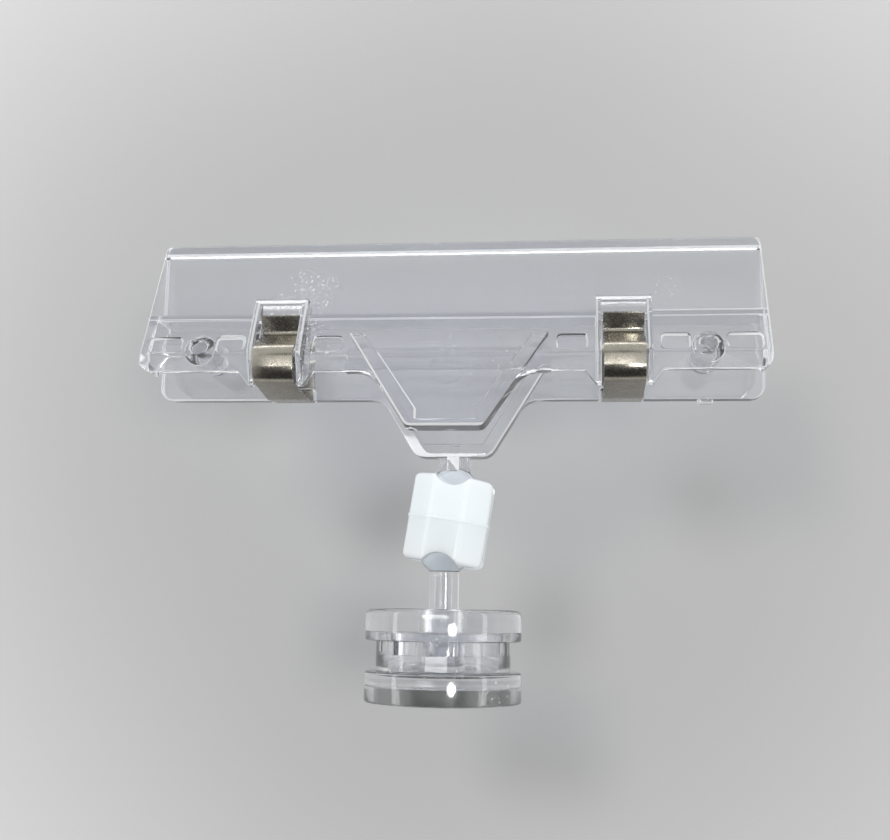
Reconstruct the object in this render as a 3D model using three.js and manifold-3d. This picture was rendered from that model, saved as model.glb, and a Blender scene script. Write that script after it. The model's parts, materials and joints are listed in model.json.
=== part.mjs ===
// Magnetic sign holder clip.
// A clear spring clip stands on a double ball joint over a round magnetic base.
// Millimetres, +Z up. The origin is the centre of the magnet's lower face, and the clip faces -Y.
// The clip has a frame of its own: X along the mouth, Y = 0 on the back plate's front face,
// Z = 0 on the back plate's lower edge.

import * as THREE from 'three';
import { mergeVertices } from 'three/addons/utils/BufferGeometryUtils.js';
import Module from 'manifold-3d';

const wasm = await Module();
wasm.setup();

// Clearances
const RUN_GAP = 0.3; // between pieces that move past each other
const SEAT_GAP = 0.15; // between fixed pieces that are stacked
const TURN_GAP = 0.08; // running fit of the stud's pin and stem
const SOCKET_GAP = 0.1; // round each ball in its socket

// Magnet
const MAGNET_DIAMETER = 22;
const MAGNET_THICKNESS = 2.6;
const MAGNET_PROUD = 0.15; // how far its face stands below the cup's rim
const MAGNET_EDGE = 0.25; // chamfer on the plated edge

// Base cup: flange, neck and spigot
const FLANGE_DIAMETER = 25;
const FLANGE_HEIGHT = 4.85;
const FLANGE_EDGE = 0.4;
const NECK_DIAMETER = 21.5;
const NECK_HEIGHT = 2.65;
const SPIGOT_DIAMETER = 21.2;
const SPIGOT_SHOWN = 2.05; // height that shows between neck and cap
const SPIGOT_LAP = 1.4; // height that enters the cap
const SPIGOT_WALL = 1.4;
const CUP_FLOOR = 1.4; // plastic between the magnet and the cup's hollow
const BOSS_DIAMETER = 6.8;
const CRUSH_RIB_COUNT = 12;
const CRUSH_RIB_DIAMETER = 0.7;
const CRUSH_RIB_PROUD = 0.12;
const SLOT_WIDTH = 1.1;
const SLOT_AZIMUTH = -127; // degrees from +X, to the left of the front

// Base cap
const CAP_DIAMETER = 25;
const CAP_HEIGHT = 5;
const CAP_TOP_EDGE = 0.9;
const CAP_LOWER_EDGE = 0.4;

// Ball stud, trapped by its collar between the cap and the cup's boss
const STEM_DIAMETER = 4.8;
const BALL_DIAMETER = 8.4;
const STUD_RISE = 9.55; // cap's top to the ball's centre
const COLLAR_DIAMETER = 6.2;
const COLLAR_HEIGHT = 1.2;
const PIN_DIAMETER = 3.5;
const PIN_LENGTH = 4.5;

// Ball connector: octagonal bar with a socket at each end
const CONNECTOR_FLATS = 12.8;
const CONNECTOR_LENGTH = 14;
const CONNECTOR_EDGE = 0.9; // rounding of both ends
const CONNECTOR_CORNER = 1.4; // radius between two flats
const BALL_SPACING = 9.3;
const CONNECTOR_LEAN = 8.5; // degrees towards +X
const NOTCH_WIDTH = 5.8;
const NOTCH_DEPTH = 1.65;
const PARTING_RIDGE_WIDTH = 0.7;
const PARTING_RIDGE_HEIGHT = 0.25;

// Back jaw
const PLATE_WIDTH = 100;
const PLATE_HEIGHT = 26.8;
const PLATE_THICKNESS = 2;
const PLATE_TOP_RADIUS = 1.5;
const PLATE_LOWER_RADIUS = 2.2;
const BACK_LEVER_ROOT = 11.9; // half width at the plate's lower edge
const BACK_LEVER_TIP = 6; // half width at the tip
const BACK_LEVER_LENGTH = 9.6;
const BACK_LEVER_FILLET = 3.5;
const BACK_LEVER_CORNER = 2.4;
const BACK_RIB_WIDTH = 2.1;
const BACK_RIB_HEIGHT = 1.4;
const BACK_RIB_RISE = 4.6; // how far the ribs run up the plate
const JAW_RISE = 15.3; // upper ball's centre to the plate's lower edge
const STEM_WEB_WIDTH = 5.2;
const STEM_RIB_WIDTH = 1.9;
const STEM_RIB_DEPTH = 4.6;
const PLATE_NOTCH_DEPTH = 1.9; // notch for each spring in the plate's lower edge
const PLATE_NOTCH_CORNER = 0.5;
const GATE_STUB_OFFSET = 0.5; // from the fulcrum, outwards
const GATE_STUB_WIDTH = 2.6;
const GATE_STUB_HEIGHT = 0.7;

// Front jaw
const FRONT_SETBACK = 0.5; // from the plate's end to the front jaw's end
const FRONT_HEIGHT = 26.4; // grip edge above the plate's lower edge
const FRONT_DEPTH = 12.2; // plate to the bar's nose
const FRONT_TOP_DEPTH = 2; // plate to the outer face at the grip edge
const FRONT_SKIN = 1.5;
const GRIP_GAP = 0.3;
const GRIP_LAND = 2;
const NOSE_HEIGHT = 5.3; // where the slanted skin turns into the upright lip
const LIP_BOTTOM = 2.5;
const FRONT_LOWER_RADIUS = 2;
const FRONT_TOP_RADIUS = 1.2;
const LEDGE_TOP = 12.4;
const LEDGE_THICKNESS = 1;
const LEDGE_GAP = 0.8; // from the ledge's back edge to the plate
const END_WALL = 1.5;

// Fulcrum bosses: the front jaw rocks on their round tips in cups of the back plate
const FULCRUM_INSET = 9.5; // from the front jaw's end
const FULCRUM_HEIGHT = 6.1;
const FULCRUM_RADIUS = 2.4;
const FULCRUM_CUP_DEPTH = 0.5;
const FULCRUM_CORE_DIAMETER = 2.6;
const FULCRUM_CORE_RISE = 0.5;
const FULCRUM_CORE_FLOOR = 3; // plastic left at the tip

// Moulded panels sunk into the bar between bosses, slots and lever
const PANEL_DEPTH = 0.45;
const PANEL_HEIGHT = 3.1;
const PANEL_RADIUS = 0.8;
const PANEL_MARGIN = 1.2; // bar left between a panel and its neighbour

// Spring slots
const SLOT_TOP = 14.2;
const SLOT_FLOOR = 1.5;
const SLOT_FLOOR_BOTTOM = 4.2;
const FIN_THICKNESS = 0.8;
const FIN_PROUD = 2.2;
const FOOT_DROP = 2.3; // how far the feet beside the springs reach below the lip
const FOOT_SPREAD = 1.7;

// Front lever
const FRONT_LEVER_ROOT = 14.4;
const FRONT_LEVER_TIP = 5.9;
const FRONT_LEVER_BOTTOM = -7;
const FRONT_LEVER_TOP = 6.4;
const FRONT_LEVER_REACH = 15.2; // plate to the outer face at the lever's lower edge
const FRONT_LEVER_THICKNESS = 1.6;
const FRONT_LEVER_CORNER = 1.4;
const FRONT_LEVER_FILLET = 4;
const FRONT_RIB_WIDTH = 2.3; // measured along X
const FRONT_RIB_HEIGHT = 1;
const FRONT_RIB_TOP = 8.2;
const FRONT_RIB_SHELF = 3; // upright stretch of the ribs' inner edge
const EJECTOR_MARK_DIAMETER = 5.2;
const EJECTOR_MARK_DEPTH = 0.15;
const EJECTOR_MARK_HEIGHT = 2.7;

// Springs
const SPRING_WIDTH = 6.4;
const SPRING_THICKNESS = 0.45;
const SPRING_CREASE_HEIGHT = 9.2;
const SPRING_LIP_RISE = 2.8;
const SPRING_LIP_THROW = 1.7;
const SPRING_CREASE_RADIUS = 0.9;
const SPRING_BULGE_DEPTH = 14.4;
const SPRING_BULGE_HEIGHT = 3.9;
const SPRING_BULGE_RADIUS = 2.3;
const SPRING_DROOP = 0.7; // sag of the underside between bar and plate
const SPRING_UNDER_HEIGHT = 0.1; // lower face above the plate's edge, in its notch
const SPRING_BACK_CONTACT = 7.5; // where the back leg presses on the plate
const SPRING_BACK_RISE = 2.2;
const SPRING_BACK_BEND = 1.3;

// Smoothness
const DISC_SIDES = 56;
const ROD_SIDES = 24;
const BALL_SIDES = 28;
const ARC_STEPS = 4;

// Heights of the base, worked out from the sizes above
const rimZ = MAGNET_PROUD;
const flangeTopZ = rimZ + FLANGE_HEIGHT;
const neckTopZ = flangeTopZ + NECK_HEIGHT;
const capBottomZ = neckTopZ + SPIGOT_SHOWN;
const capTopZ = capBottomZ + CAP_HEIGHT;
const spigotTopZ = capBottomZ + SPIGOT_LAP;
const capRoofZ = spigotTopZ + SEAT_GAP;
const pocketRoofZ = MAGNET_THICKNESS + SEAT_GAP;
const cupFloorZ = pocketRoofZ + CUP_FLOOR;
const collarTopZ = capRoofZ - SEAT_GAP;
const collarBottomZ = collarTopZ - COLLAR_HEIGHT;
const bossTopZ = collarBottomZ - SEAT_GAP;
const pinBottomZ = collarBottomZ - PIN_LENGTH;
const lowerBallZ = capTopZ + STUD_RISE;
const ballRadius = BALL_DIAMETER / 2;

// The connector leans over the lower ball, and the clip stands upright on the upper one
const lean = THREE.MathUtils.degToRad(CONNECTOR_LEAN);
const upperBall = new THREE.Vector3(
  BALL_SPACING * Math.sin(lean), 0, lowerBallZ + BALL_SPACING * Math.cos(lean),
);
const clipOrigin = new THREE.Vector3(
  upperBall.x, -PLATE_THICKNESS / 2, upperBall.z + JAW_RISE,
);

// Places along the clip: each spring sits midway between the lever and its fulcrum
const frontHalf = PLATE_WIDTH / 2 - FRONT_SETBACK;
const fulcrumX = frontHalf - FULCRUM_INSET;
const springX = (FRONT_LEVER_ROOT + fulcrumX) / 2;

// Faces of the front jaw, in the clip's frame
const skinSlope = (FRONT_DEPTH - FRONT_TOP_DEPTH) / (FRONT_HEIGHT - NOSE_HEIGHT);
const skinAngle = Math.atan(skinSlope);
const skinDepth = FRONT_SKIN / Math.cos(skinAngle);
const outerY = (z) => -FRONT_DEPTH + skinSlope * (z - NOSE_HEIGHT);
const innerY = (z) => outerY(z) + skinDepth;
const slotFloorY = outerY(SLOT_TOP);
const slotHalf = SPRING_WIDTH / 2 + RUN_GAP;
const finOuter = slotHalf + FIN_THICKNESS;
const fulcrumY = FULCRUM_CUP_DEPTH - RUN_GAP - FULCRUM_RADIUS;
const leverSlope = (FRONT_LEVER_REACH + outerY(FRONT_LEVER_TOP)) / (FRONT_LEVER_TOP - FRONT_LEVER_BOTTOM);
const leverAngle = Math.atan(leverSlope);
const leverRun = (z) => (z - FRONT_LEVER_BOTTOM) / Math.cos(leverAngle);
const leverSpread = (FRONT_LEVER_ROOT - FRONT_LEVER_TIP) / leverRun(FRONT_LEVER_TOP);

// Materials, as the photograph shows them
const clearPlastic = new THREE.MeshStandardMaterial({
  color: 0xe6e9ec, roughness: 0.08, metalness: 0, transparent: true, opacity: 0.45,
});
const whitePlastic = new THREE.MeshStandardMaterial({ color: 0xf1f6f6, roughness: 0.35, metalness: 0 });
const springSteel = new THREE.MeshStandardMaterial({ color: 0x9b978b, roughness: 0.28, metalness: 1 });
const nickelPlate = new THREE.MeshStandardMaterial({ color: 0xb9b9b4, roughness: 0.15, metalness: 1 });

// Turns a closed geometry into a solid that can be joined and cut
function solid(geometry) {
  const bare = geometry.index ? geometry : geometry.clone();
  bare.deleteAttribute('normal');
  bare.deleteAttribute('uv');
  const merged = mergeVertices(bare, 1e-4);
  const kept = [];
  for (let i = 0; i < merged.index.count; i += 3) {
    const [a, b, c] = [0, 1, 2].map((k) => merged.index.getX(i + k));
    if (a !== b && b !== c && c !== a) kept.push(a, b, c);
  }
  return new wasm.Manifold(new wasm.Mesh({
    numProp: 3,
    vertProperties: new Float32Array(merged.attributes.position.array),
    triVerts: new Uint32Array(kept),
  }));
}

// Turns a solid back into a geometry
function geometryOf(body) {
  const mesh = body.getMesh();
  const geometry = new THREE.BufferGeometry();
  geometry.setAttribute('position', new THREE.BufferAttribute(mesh.vertProperties, 3));
  geometry.setIndex(new THREE.BufferAttribute(mesh.triVerts, 1));
  geometry.computeVertexNormals();
  return geometry;
}

const join = (...bodies) => bodies.reduce((sum, body) => sum.add(body));
const cut = (body, ...tools) => tools.reduce((rest, tool) => rest.subtract(tool), body);
const bothSides = (make) => [-1, 1].map(make);

// Points that round a [u, v, radius] corner between its two neighbours
function roundedCorner([pu, pv], [u, v, radius = 0], [nu, nv]) {
  const here = new THREE.Vector2(u, v);
  if (radius === 0) return [here];
  const back = new THREE.Vector2(pu, pv).sub(here).normalize();
  const ahead = new THREE.Vector2(nu, nv).sub(here).normalize();
  const half = back.angleTo(ahead) / 2;
  const middle = back.clone().add(ahead).normalize();
  const centre = here.clone().addScaledVector(middle, radius / Math.sin(half));
  const start = here.clone().addScaledVector(back, radius / Math.tan(half)).sub(centre);
  const end = here.clone().addScaledVector(ahead, radius / Math.tan(half)).sub(centre);
  const sweep = Math.atan2(start.cross(end), start.dot(end));
  return Array.from({ length: ARC_STEPS + 1 }, (_, k) => (
    start.clone().rotateAround(new THREE.Vector2(), (sweep * k) / ARC_STEPS).add(centre)
  ));
}

// A closed outline through rounded corners
function roundedShape(corners) {
  const count = corners.length;
  return new THREE.Shape(corners.flatMap((corner, i) => (
    roundedCorner(corners[(i + count - 1) % count], corner, corners[(i + 1) % count])
  )));
}

const rectangle = (u0, v0, u1, v1, radius = 0) => roundedShape([
  [u0, v0, radius], [u1, v0, radius], [u1, v1, radius], [u0, v1, radius],
]);

// Mirrors the corners of one side, listed from bottom to top, to the other side
const mirrored = (corners) => [
  ...corners,
  ...corners.map(([u, v, radius = 0]) => [-u, v, radius]).reverse(),
];

// Extrudes a shape drawn in (Y, Z) along X
function prismX(shape, x0, x1) {
  const geometry = new THREE.ExtrudeGeometry(shape, { depth: x1 - x0, bevelEnabled: false });
  geometry.applyMatrix4(new THREE.Matrix4().set(0, 0, 1, x0, 1, 0, 0, 0, 0, 1, 0, 0, 0, 0, 0, 1));
  return solid(geometry);
}

// Extrudes a shape drawn in (X, Z) from y0 to y1, then leans it back about X and moves it
function prismY(shape, y0, y1, lay = { angle: 0, y: 0, z: 0 }) {
  const geometry = new THREE.ExtrudeGeometry(shape, { depth: y1 - y0, bevelEnabled: false });
  geometry.rotateX(Math.PI / 2).translate(0, y1, 0);
  geometry.rotateX(-lay.angle).translate(0, lay.y, lay.z);
  return solid(geometry);
}

// Revolves a closed [radius, height] profile about Z
function revolve(profile, sides = DISC_SIDES) {
  const points = profile.map(([r, z]) => new THREE.Vector2(r, z));
  return solid(new THREE.LatheGeometry(points, sides).rotateX(Math.PI / 2));
}

function ball(radius, x, y, z) {
  return solid(new THREE.SphereGeometry(radius, BALL_SIDES, BALL_SIDES / 2)
    .rotateX(Math.PI / 2).translate(x, y, z));
}

// A round rod along Y
function rodY(radius, x, z, y0, y1, sides = ROD_SIDES) {
  return solid(new THREE.CylinderGeometry(radius, radius, y1 - y0, sides)
    .translate(x, (y0 + y1) / 2, z));
}

// A round rod along X
function rodX(radius, y, z, length) {
  return solid(new THREE.CylinderGeometry(radius, radius, length, ROD_SIDES)
    .rotateZ(Math.PI / 2).translate(0, y, z));
}

// Points of a quarter round on a revolved edge, from one angle to the other
function quarterRound(r, z, radius, from, to) {
  return Array.from({ length: ARC_STEPS + 1 }, (_, k) => {
    const angle = THREE.MathUtils.degToRad(from + ((to - from) * k) / ARC_STEPS);
    return [r + radius * Math.cos(angle), z + radius * Math.sin(angle)];
  });
}

// Plated disc with a small chamfer on both edges
function magnet() {
  const r = MAGNET_DIAMETER / 2;
  return revolve([
    [0, 0],
    [r - MAGNET_EDGE, 0],
    [r, MAGNET_EDGE],
    [r, MAGNET_THICKNESS - MAGNET_EDGE],
    [r - MAGNET_EDGE, MAGNET_THICKNESS],
    [0, MAGNET_THICKNESS],
  ]);
}

// Lower disc with the magnet's pocket below, and above it a hollow neck round the stud's boss
function baseCup() {
  const flange = FLANGE_DIAMETER / 2;
  const neck = NECK_DIAMETER / 2;
  const spigot = SPIGOT_DIAMETER / 2;
  const pocket = MAGNET_DIAMETER / 2 + SEAT_GAP;
  const bore = PIN_DIAMETER / 2 + TURN_GAP;
  const shell = revolve([
    [0, pocketRoofZ],
    [pocket, pocketRoofZ],
    [pocket, rimZ],
    ...quarterRound(flange - FLANGE_EDGE, rimZ + FLANGE_EDGE, FLANGE_EDGE, -90, 0),
    ...quarterRound(flange - FLANGE_EDGE, flangeTopZ - FLANGE_EDGE, FLANGE_EDGE, 0, 90),
    [neck, flangeTopZ],
    [neck, neckTopZ],
    [spigot, neckTopZ],
    [spigot, spigotTopZ],
    [spigot - SPIGOT_WALL, spigotTopZ],
    [spigot - SPIGOT_WALL, cupFloorZ],
    [BOSS_DIAMETER / 2, cupFloorZ],
    [BOSS_DIAMETER / 2, bossTopZ],
    [bore, bossTopZ],
    [bore, pinBottomZ - SEAT_GAP],
    [0, pinBottomZ - SEAT_GAP],
  ]);
  const rib = CRUSH_RIB_DIAMETER / 2;
  const ribs = Array.from({ length: CRUSH_RIB_COUNT }, (_, i) => {
    const angle = (2 * Math.PI * (i + 0.5)) / CRUSH_RIB_COUNT;
    const reach = spigot + CRUSH_RIB_PROUD - rib;
    const height = spigotTopZ - neckTopZ;
    return solid(new THREE.CylinderGeometry(rib, rib, height, ROD_SIDES / 3)
      .rotateX(Math.PI / 2)
      .translate(reach * Math.cos(angle), reach * Math.sin(angle), neckTopZ + height / 2));
  });
  const slotHeight = spigotTopZ - neckTopZ;
  const slot = solid(new THREE.BoxGeometry(2 * SPIGOT_WALL, SLOT_WIDTH, 2 * slotHeight)
    .translate(spigot - SPIGOT_WALL / 2, 0, spigotTopZ)
    .rotateZ(THREE.MathUtils.degToRad(SLOT_AZIMUTH)));
  return cut(join(shell, ...ribs), slot);
}

// Upper disc, with the spigot's recess below and the stud's hole through it
function baseCap() {
  const r = CAP_DIAMETER / 2;
  const recess = SPIGOT_DIAMETER / 2 + RUN_GAP;
  const hole = STEM_DIAMETER / 2 + TURN_GAP;
  return revolve([
    [hole, capRoofZ],
    [recess, capRoofZ],
    [recess, capBottomZ],
    ...quarterRound(r - CAP_LOWER_EDGE, capBottomZ + CAP_LOWER_EDGE, CAP_LOWER_EDGE, -90, 0),
    ...quarterRound(r - CAP_TOP_EDGE, capTopZ - CAP_TOP_EDGE, CAP_TOP_EDGE, 0, 90),
    [hole, capTopZ],
    [hole, capRoofZ],
  ]);
}

// Ball and stem on a collar and pin that turn in the base
function ballStud() {
  const stem = STEM_DIAMETER / 2;
  const pin = PIN_DIAMETER / 2;
  const collar = COLLAR_DIAMETER / 2;
  const post = revolve([
    [0, pinBottomZ],
    [pin, pinBottomZ],
    [pin, collarBottomZ],
    [collar, collarBottomZ],
    [collar, collarTopZ],
    [stem, collarTopZ],
    [stem, lowerBallZ],
    [0, lowerBallZ],
  ], ROD_SIDES);
  return join(post, ball(ballRadius, 0, 0, lowerBallZ));
}

// Octagonal outline with its flats to the front, back and sides
function octagon(acrossFlats, edge) {
  const reach = acrossFlats / 2 / Math.cos(Math.PI / 8);
  return roundedShape(Array.from({ length: 8 }, (_, i) => {
    const angle = (Math.PI / 8) * (2 * i + 1);
    return [reach * Math.cos(angle), reach * Math.sin(angle), edge];
  }));
}

// White double socket about its own centre, with a scallop in the middle of each flat's end
function ballConnector() {
  const bar = solid(new THREE.ExtrudeGeometry(octagon(CONNECTOR_FLATS, CONNECTOR_CORNER), {
    depth: CONNECTOR_LENGTH - 2 * CONNECTOR_EDGE,
    bevelThickness: CONNECTOR_EDGE,
    bevelSize: CONNECTOR_EDGE,
    bevelOffset: -CONNECTOR_EDGE,
    bevelSegments: 4,
  }).translate(0, 0, CONNECTOR_EDGE - CONNECTOR_LENGTH / 2));
  const ridge = solid(new THREE.ExtrudeGeometry(
    octagon(CONNECTOR_FLATS + 2 * PARTING_RIDGE_HEIGHT, CONNECTOR_CORNER),
    { depth: PARTING_RIDGE_WIDTH, bevelEnabled: false },
  ).translate(0, 0, -PARTING_RIDGE_WIDTH / 2));
  const notchRadius = (NOTCH_WIDTH ** 2 / 4 + NOTCH_DEPTH ** 2) / (2 * NOTCH_DEPTH);
  const notchZ = CONNECTOR_LENGTH / 2 + notchRadius - NOTCH_DEPTH;
  const cuts = bothSides((side) => join(
    ball(ballRadius + SOCKET_GAP, 0, 0, (side * BALL_SPACING) / 2),
    rodX(notchRadius, 0, side * notchZ, 2 * CONNECTOR_FLATS),
    rodY(notchRadius, 0, side * notchZ, -CONNECTOR_FLATS, CONNECTOR_FLATS),
  ));
  return cut(join(bar, ridge), ...cuts);
}

// Plate and lever of the back jaw in one outline, with a notch for each spring
function backPlate() {
  const half = PLATE_WIDTH / 2;
  const outline = roundedShape(mirrored([
    [BACK_LEVER_TIP, -BACK_LEVER_LENGTH, BACK_LEVER_CORNER],
    [BACK_LEVER_ROOT, 0, BACK_LEVER_FILLET],
    [half, 0, PLATE_LOWER_RADIUS],
    [half, PLATE_HEIGHT, PLATE_TOP_RADIUS],
  ]));
  const notches = bothSides((side) => {
    const x = side * springX;
    const [x0, x1] = [x - slotHalf, x + slotHalf];
    const shape = rectangle(x0, -PLATE_NOTCH_DEPTH, x1, PLATE_NOTCH_DEPTH, PLATE_NOTCH_CORNER);
    return prismY(shape, -PLATE_THICKNESS, 2 * PLATE_THICKNESS);
  });
  return cut(prismY(outline, 0, PLATE_THICKNESS), ...notches);
}

// V-shaped stiffening rib on the back lever's front face, running up on to the plate
function backRibs() {
  const spread = (BACK_LEVER_ROOT - BACK_LEVER_TIP) / BACK_LEVER_LENGTH;
  const edgeAt = (z) => BACK_LEVER_ROOT + spread * z;
  const along = BACK_RIB_WIDTH * Math.hypot(1, spread);
  const low = -BACK_LEVER_LENGTH;
  const shelf = low + BACK_RIB_WIDTH;
  const outer = roundedShape(mirrored([
    [BACK_LEVER_TIP, low, BACK_LEVER_CORNER],
    [edgeAt(BACK_RIB_RISE), BACK_RIB_RISE],
  ]));
  const inner = roundedShape(mirrored([
    [edgeAt(shelf) - along, shelf],
    [edgeAt(BACK_RIB_RISE + 1) - along, BACK_RIB_RISE + 1],
  ]));
  const root = PLATE_THICKNESS / 2;
  return cut(
    prismY(outer, -BACK_RIB_HEIGHT, root),
    prismY(inner, -2 * BACK_RIB_HEIGHT, 2 * root),
  );
}

// Clear back jaw with its stem and upper ball
function backJaw() {
  const axisY = PLATE_THICKNESS / 2;
  const top = -BACK_LEVER_LENGTH + BACK_RIB_WIDTH;
  const web = prismX(
    rectangle(0, -JAW_RISE, PLATE_THICKNESS, top), -STEM_WEB_WIDTH / 2, STEM_WEB_WIDTH / 2,
  );
  const rib = prismX(
    rectangle(axisY - STEM_RIB_DEPTH / 2, -JAW_RISE, axisY + STEM_RIB_DEPTH / 2, top),
    -STEM_RIB_WIDTH / 2,
    STEM_RIB_WIDTH / 2,
  );
  const stubX = fulcrumX + GATE_STUB_OFFSET;
  const stub = prismX(
    rectangle(axisY / 2, -GATE_STUB_HEIGHT, 3 * axisY / 2, axisY),
    stubX - GATE_STUB_WIDTH / 2,
    stubX + GATE_STUB_WIDTH / 2,
  );
  const cups = bothSides((side) => (
    ball(FULCRUM_RADIUS + RUN_GAP, side * fulcrumX, fulcrumY, FULCRUM_HEIGHT)
  ));
  const body = join(backPlate(), backRibs(), web, rib, stub, ball(ballRadius, 0, axisY, -JAW_RISE));
  return cut(body, ...cups);
}

// Section of the front jaw: grip land, slanted skin and upright lip
function frontSkin() {
  const landBottom = FRONT_HEIGHT - GRIP_LAND;
  const lipBack = -FRONT_DEPTH + FRONT_SKIN;
  return roundedShape([
    [-GRIP_GAP, FRONT_HEIGHT],
    [-GRIP_GAP, landBottom],
    [innerY(landBottom - GRIP_LAND / 2), landBottom - GRIP_LAND / 2],
    [lipBack, NOSE_HEIGHT + (lipBack - innerY(NOSE_HEIGHT)) / skinSlope],
    [lipBack, LIP_BOTTOM],
    [-FRONT_DEPTH, LIP_BOTTOM],
    [-FRONT_DEPTH, NOSE_HEIGHT, FRONT_SKIN],
    [outerY(FRONT_HEIGHT), FRONT_HEIGHT, FRONT_SKIN / 2],
  ]);
}

// Ledge that stops the card, and the gusset walls that close the bar's ends under it
function ledgeAndEnds() {
  const half = frontHalf;
  const root = innerY(LEDGE_TOP) - FRONT_SKIN / 2;
  const ledge = prismX(
    rectangle(root, LEDGE_TOP - LEDGE_THICKNESS, -LEDGE_GAP, LEDGE_TOP), -half, half,
  );
  const wall = roundedShape([
    [root, LEDGE_TOP],
    [-2 * LEDGE_GAP, LEDGE_TOP],
    [-2 * LEDGE_GAP, LEDGE_TOP - 2 * LEDGE_THICKNESS, LEDGE_THICKNESS],
    [-FRONT_DEPTH * 0.6, LIP_BOTTOM, FRONT_SKIN],
    [-FRONT_DEPTH + FRONT_SKIN / 2, LIP_BOTTOM],
    [-FRONT_DEPTH + FRONT_SKIN / 2, NOSE_HEIGHT],
  ]);
  return join(ledge, prismX(wall, -half, END_WALL - half), prismX(wall, half - END_WALL, half));
}

// Cuts the skin away in front of a spring slot
function slotCut(x) {
  const shape = rectangle(-2 * FRONT_LEVER_REACH, -SLOT_TOP, slotFloorY, SLOT_TOP);
  return prismX(shape, x - slotHalf, x + slotHalf);
}

// Upright floor that the spring's front leg presses on, with a fin and a foot on each side
function springSlot(x) {
  const nose = -FRONT_DEPTH - FIN_PROUD;
  const floor = prismX(
    rectangle(slotFloorY, SLOT_FLOOR_BOTTOM, slotFloorY + SLOT_FLOOR, SLOT_TOP + SLOT_FLOOR / 2),
    x - finOuter,
    x + finOuter,
  );
  const finShape = roundedShape([
    [slotFloorY + SLOT_FLOOR, SLOT_TOP],
    [outerY(SLOT_TOP) - FIN_PROUD, SLOT_TOP, FIN_PROUD / 2],
    [nose, NOSE_HEIGHT, FIN_PROUD],
    [-FRONT_DEPTH, LIP_BOTTOM - FOOT_DROP, FIN_PROUD / 2],
    [slotFloorY, LIP_BOTTOM - FOOT_DROP / 2, FIN_PROUD / 2],
    [slotFloorY + SLOT_FLOOR, SLOT_FLOOR_BOTTOM],
  ]);
  const sides = bothSides((side) => {
    const near = x + side * slotHalf;
    const far = x + side * finOuter;
    const fin = prismX(finShape, Math.min(near, far), Math.max(near, far));
    const foot = roundedShape([
      [near, LIP_BOTTOM + FRONT_SKIN],
      [near, LIP_BOTTOM - FOOT_DROP],
      [far, LIP_BOTTOM - FOOT_DROP, FIN_THICKNESS / 2],
      [far + side * FOOT_SPREAD, LIP_BOTTOM],
      [far + side * FOOT_SPREAD, LIP_BOTTOM + FRONT_SKIN],
    ]);
    return join(fin, prismY(foot, -FRONT_DEPTH, -FRONT_DEPTH + FRONT_SKIN));
  });
  return join(floor, ...sides);
}

// Round boss with the jaw's rocking tip, and the core that hollows it from the front
function fulcrumBoss(x) {
  return join(
    rodY(FULCRUM_RADIUS, x, FULCRUM_HEIGHT, innerY(FULCRUM_HEIGHT) - FRONT_SKIN / 2, fulcrumY),
    ball(FULCRUM_RADIUS, x, fulcrumY, FULCRUM_HEIGHT),
  );
}

function fulcrumCore(x) {
  const r = FULCRUM_CORE_DIAMETER / 2;
  const z = FULCRUM_HEIGHT + FULCRUM_CORE_RISE;
  const end = fulcrumY - FULCRUM_CORE_FLOOR;
  return join(rodY(r, x, z, -2 * FRONT_DEPTH, end), ball(r, x, end, z));
}

// Panels sunk into the slanted face of the bar, between its other features
function panels() {
  const lay = { angle: skinAngle, y: -FRONT_DEPTH, z: NOSE_HEIGHT };
  const boss = FULCRUM_RADIUS + PANEL_MARGIN / 4;
  const spans = [
    [FRONT_LEVER_ROOT + 2 * PANEL_MARGIN, springX - finOuter - PANEL_MARGIN],
    [springX + finOuter + PANEL_MARGIN, fulcrumX - boss],
    [fulcrumX + boss, frontHalf - PANEL_MARGIN],
  ];
  const bottom = PANEL_MARGIN / 3;
  return bothSides((side) => spans.map(([from, to]) => {
    const [x0, x1] = side < 0 ? [-to, -from] : [from, to];
    const shape = rectangle(x0, bottom, x1, bottom + PANEL_HEIGHT, PANEL_RADIUS);
    return prismY(shape, -PANEL_DEPTH, PANEL_DEPTH, lay);
  })).flat();
}

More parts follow.
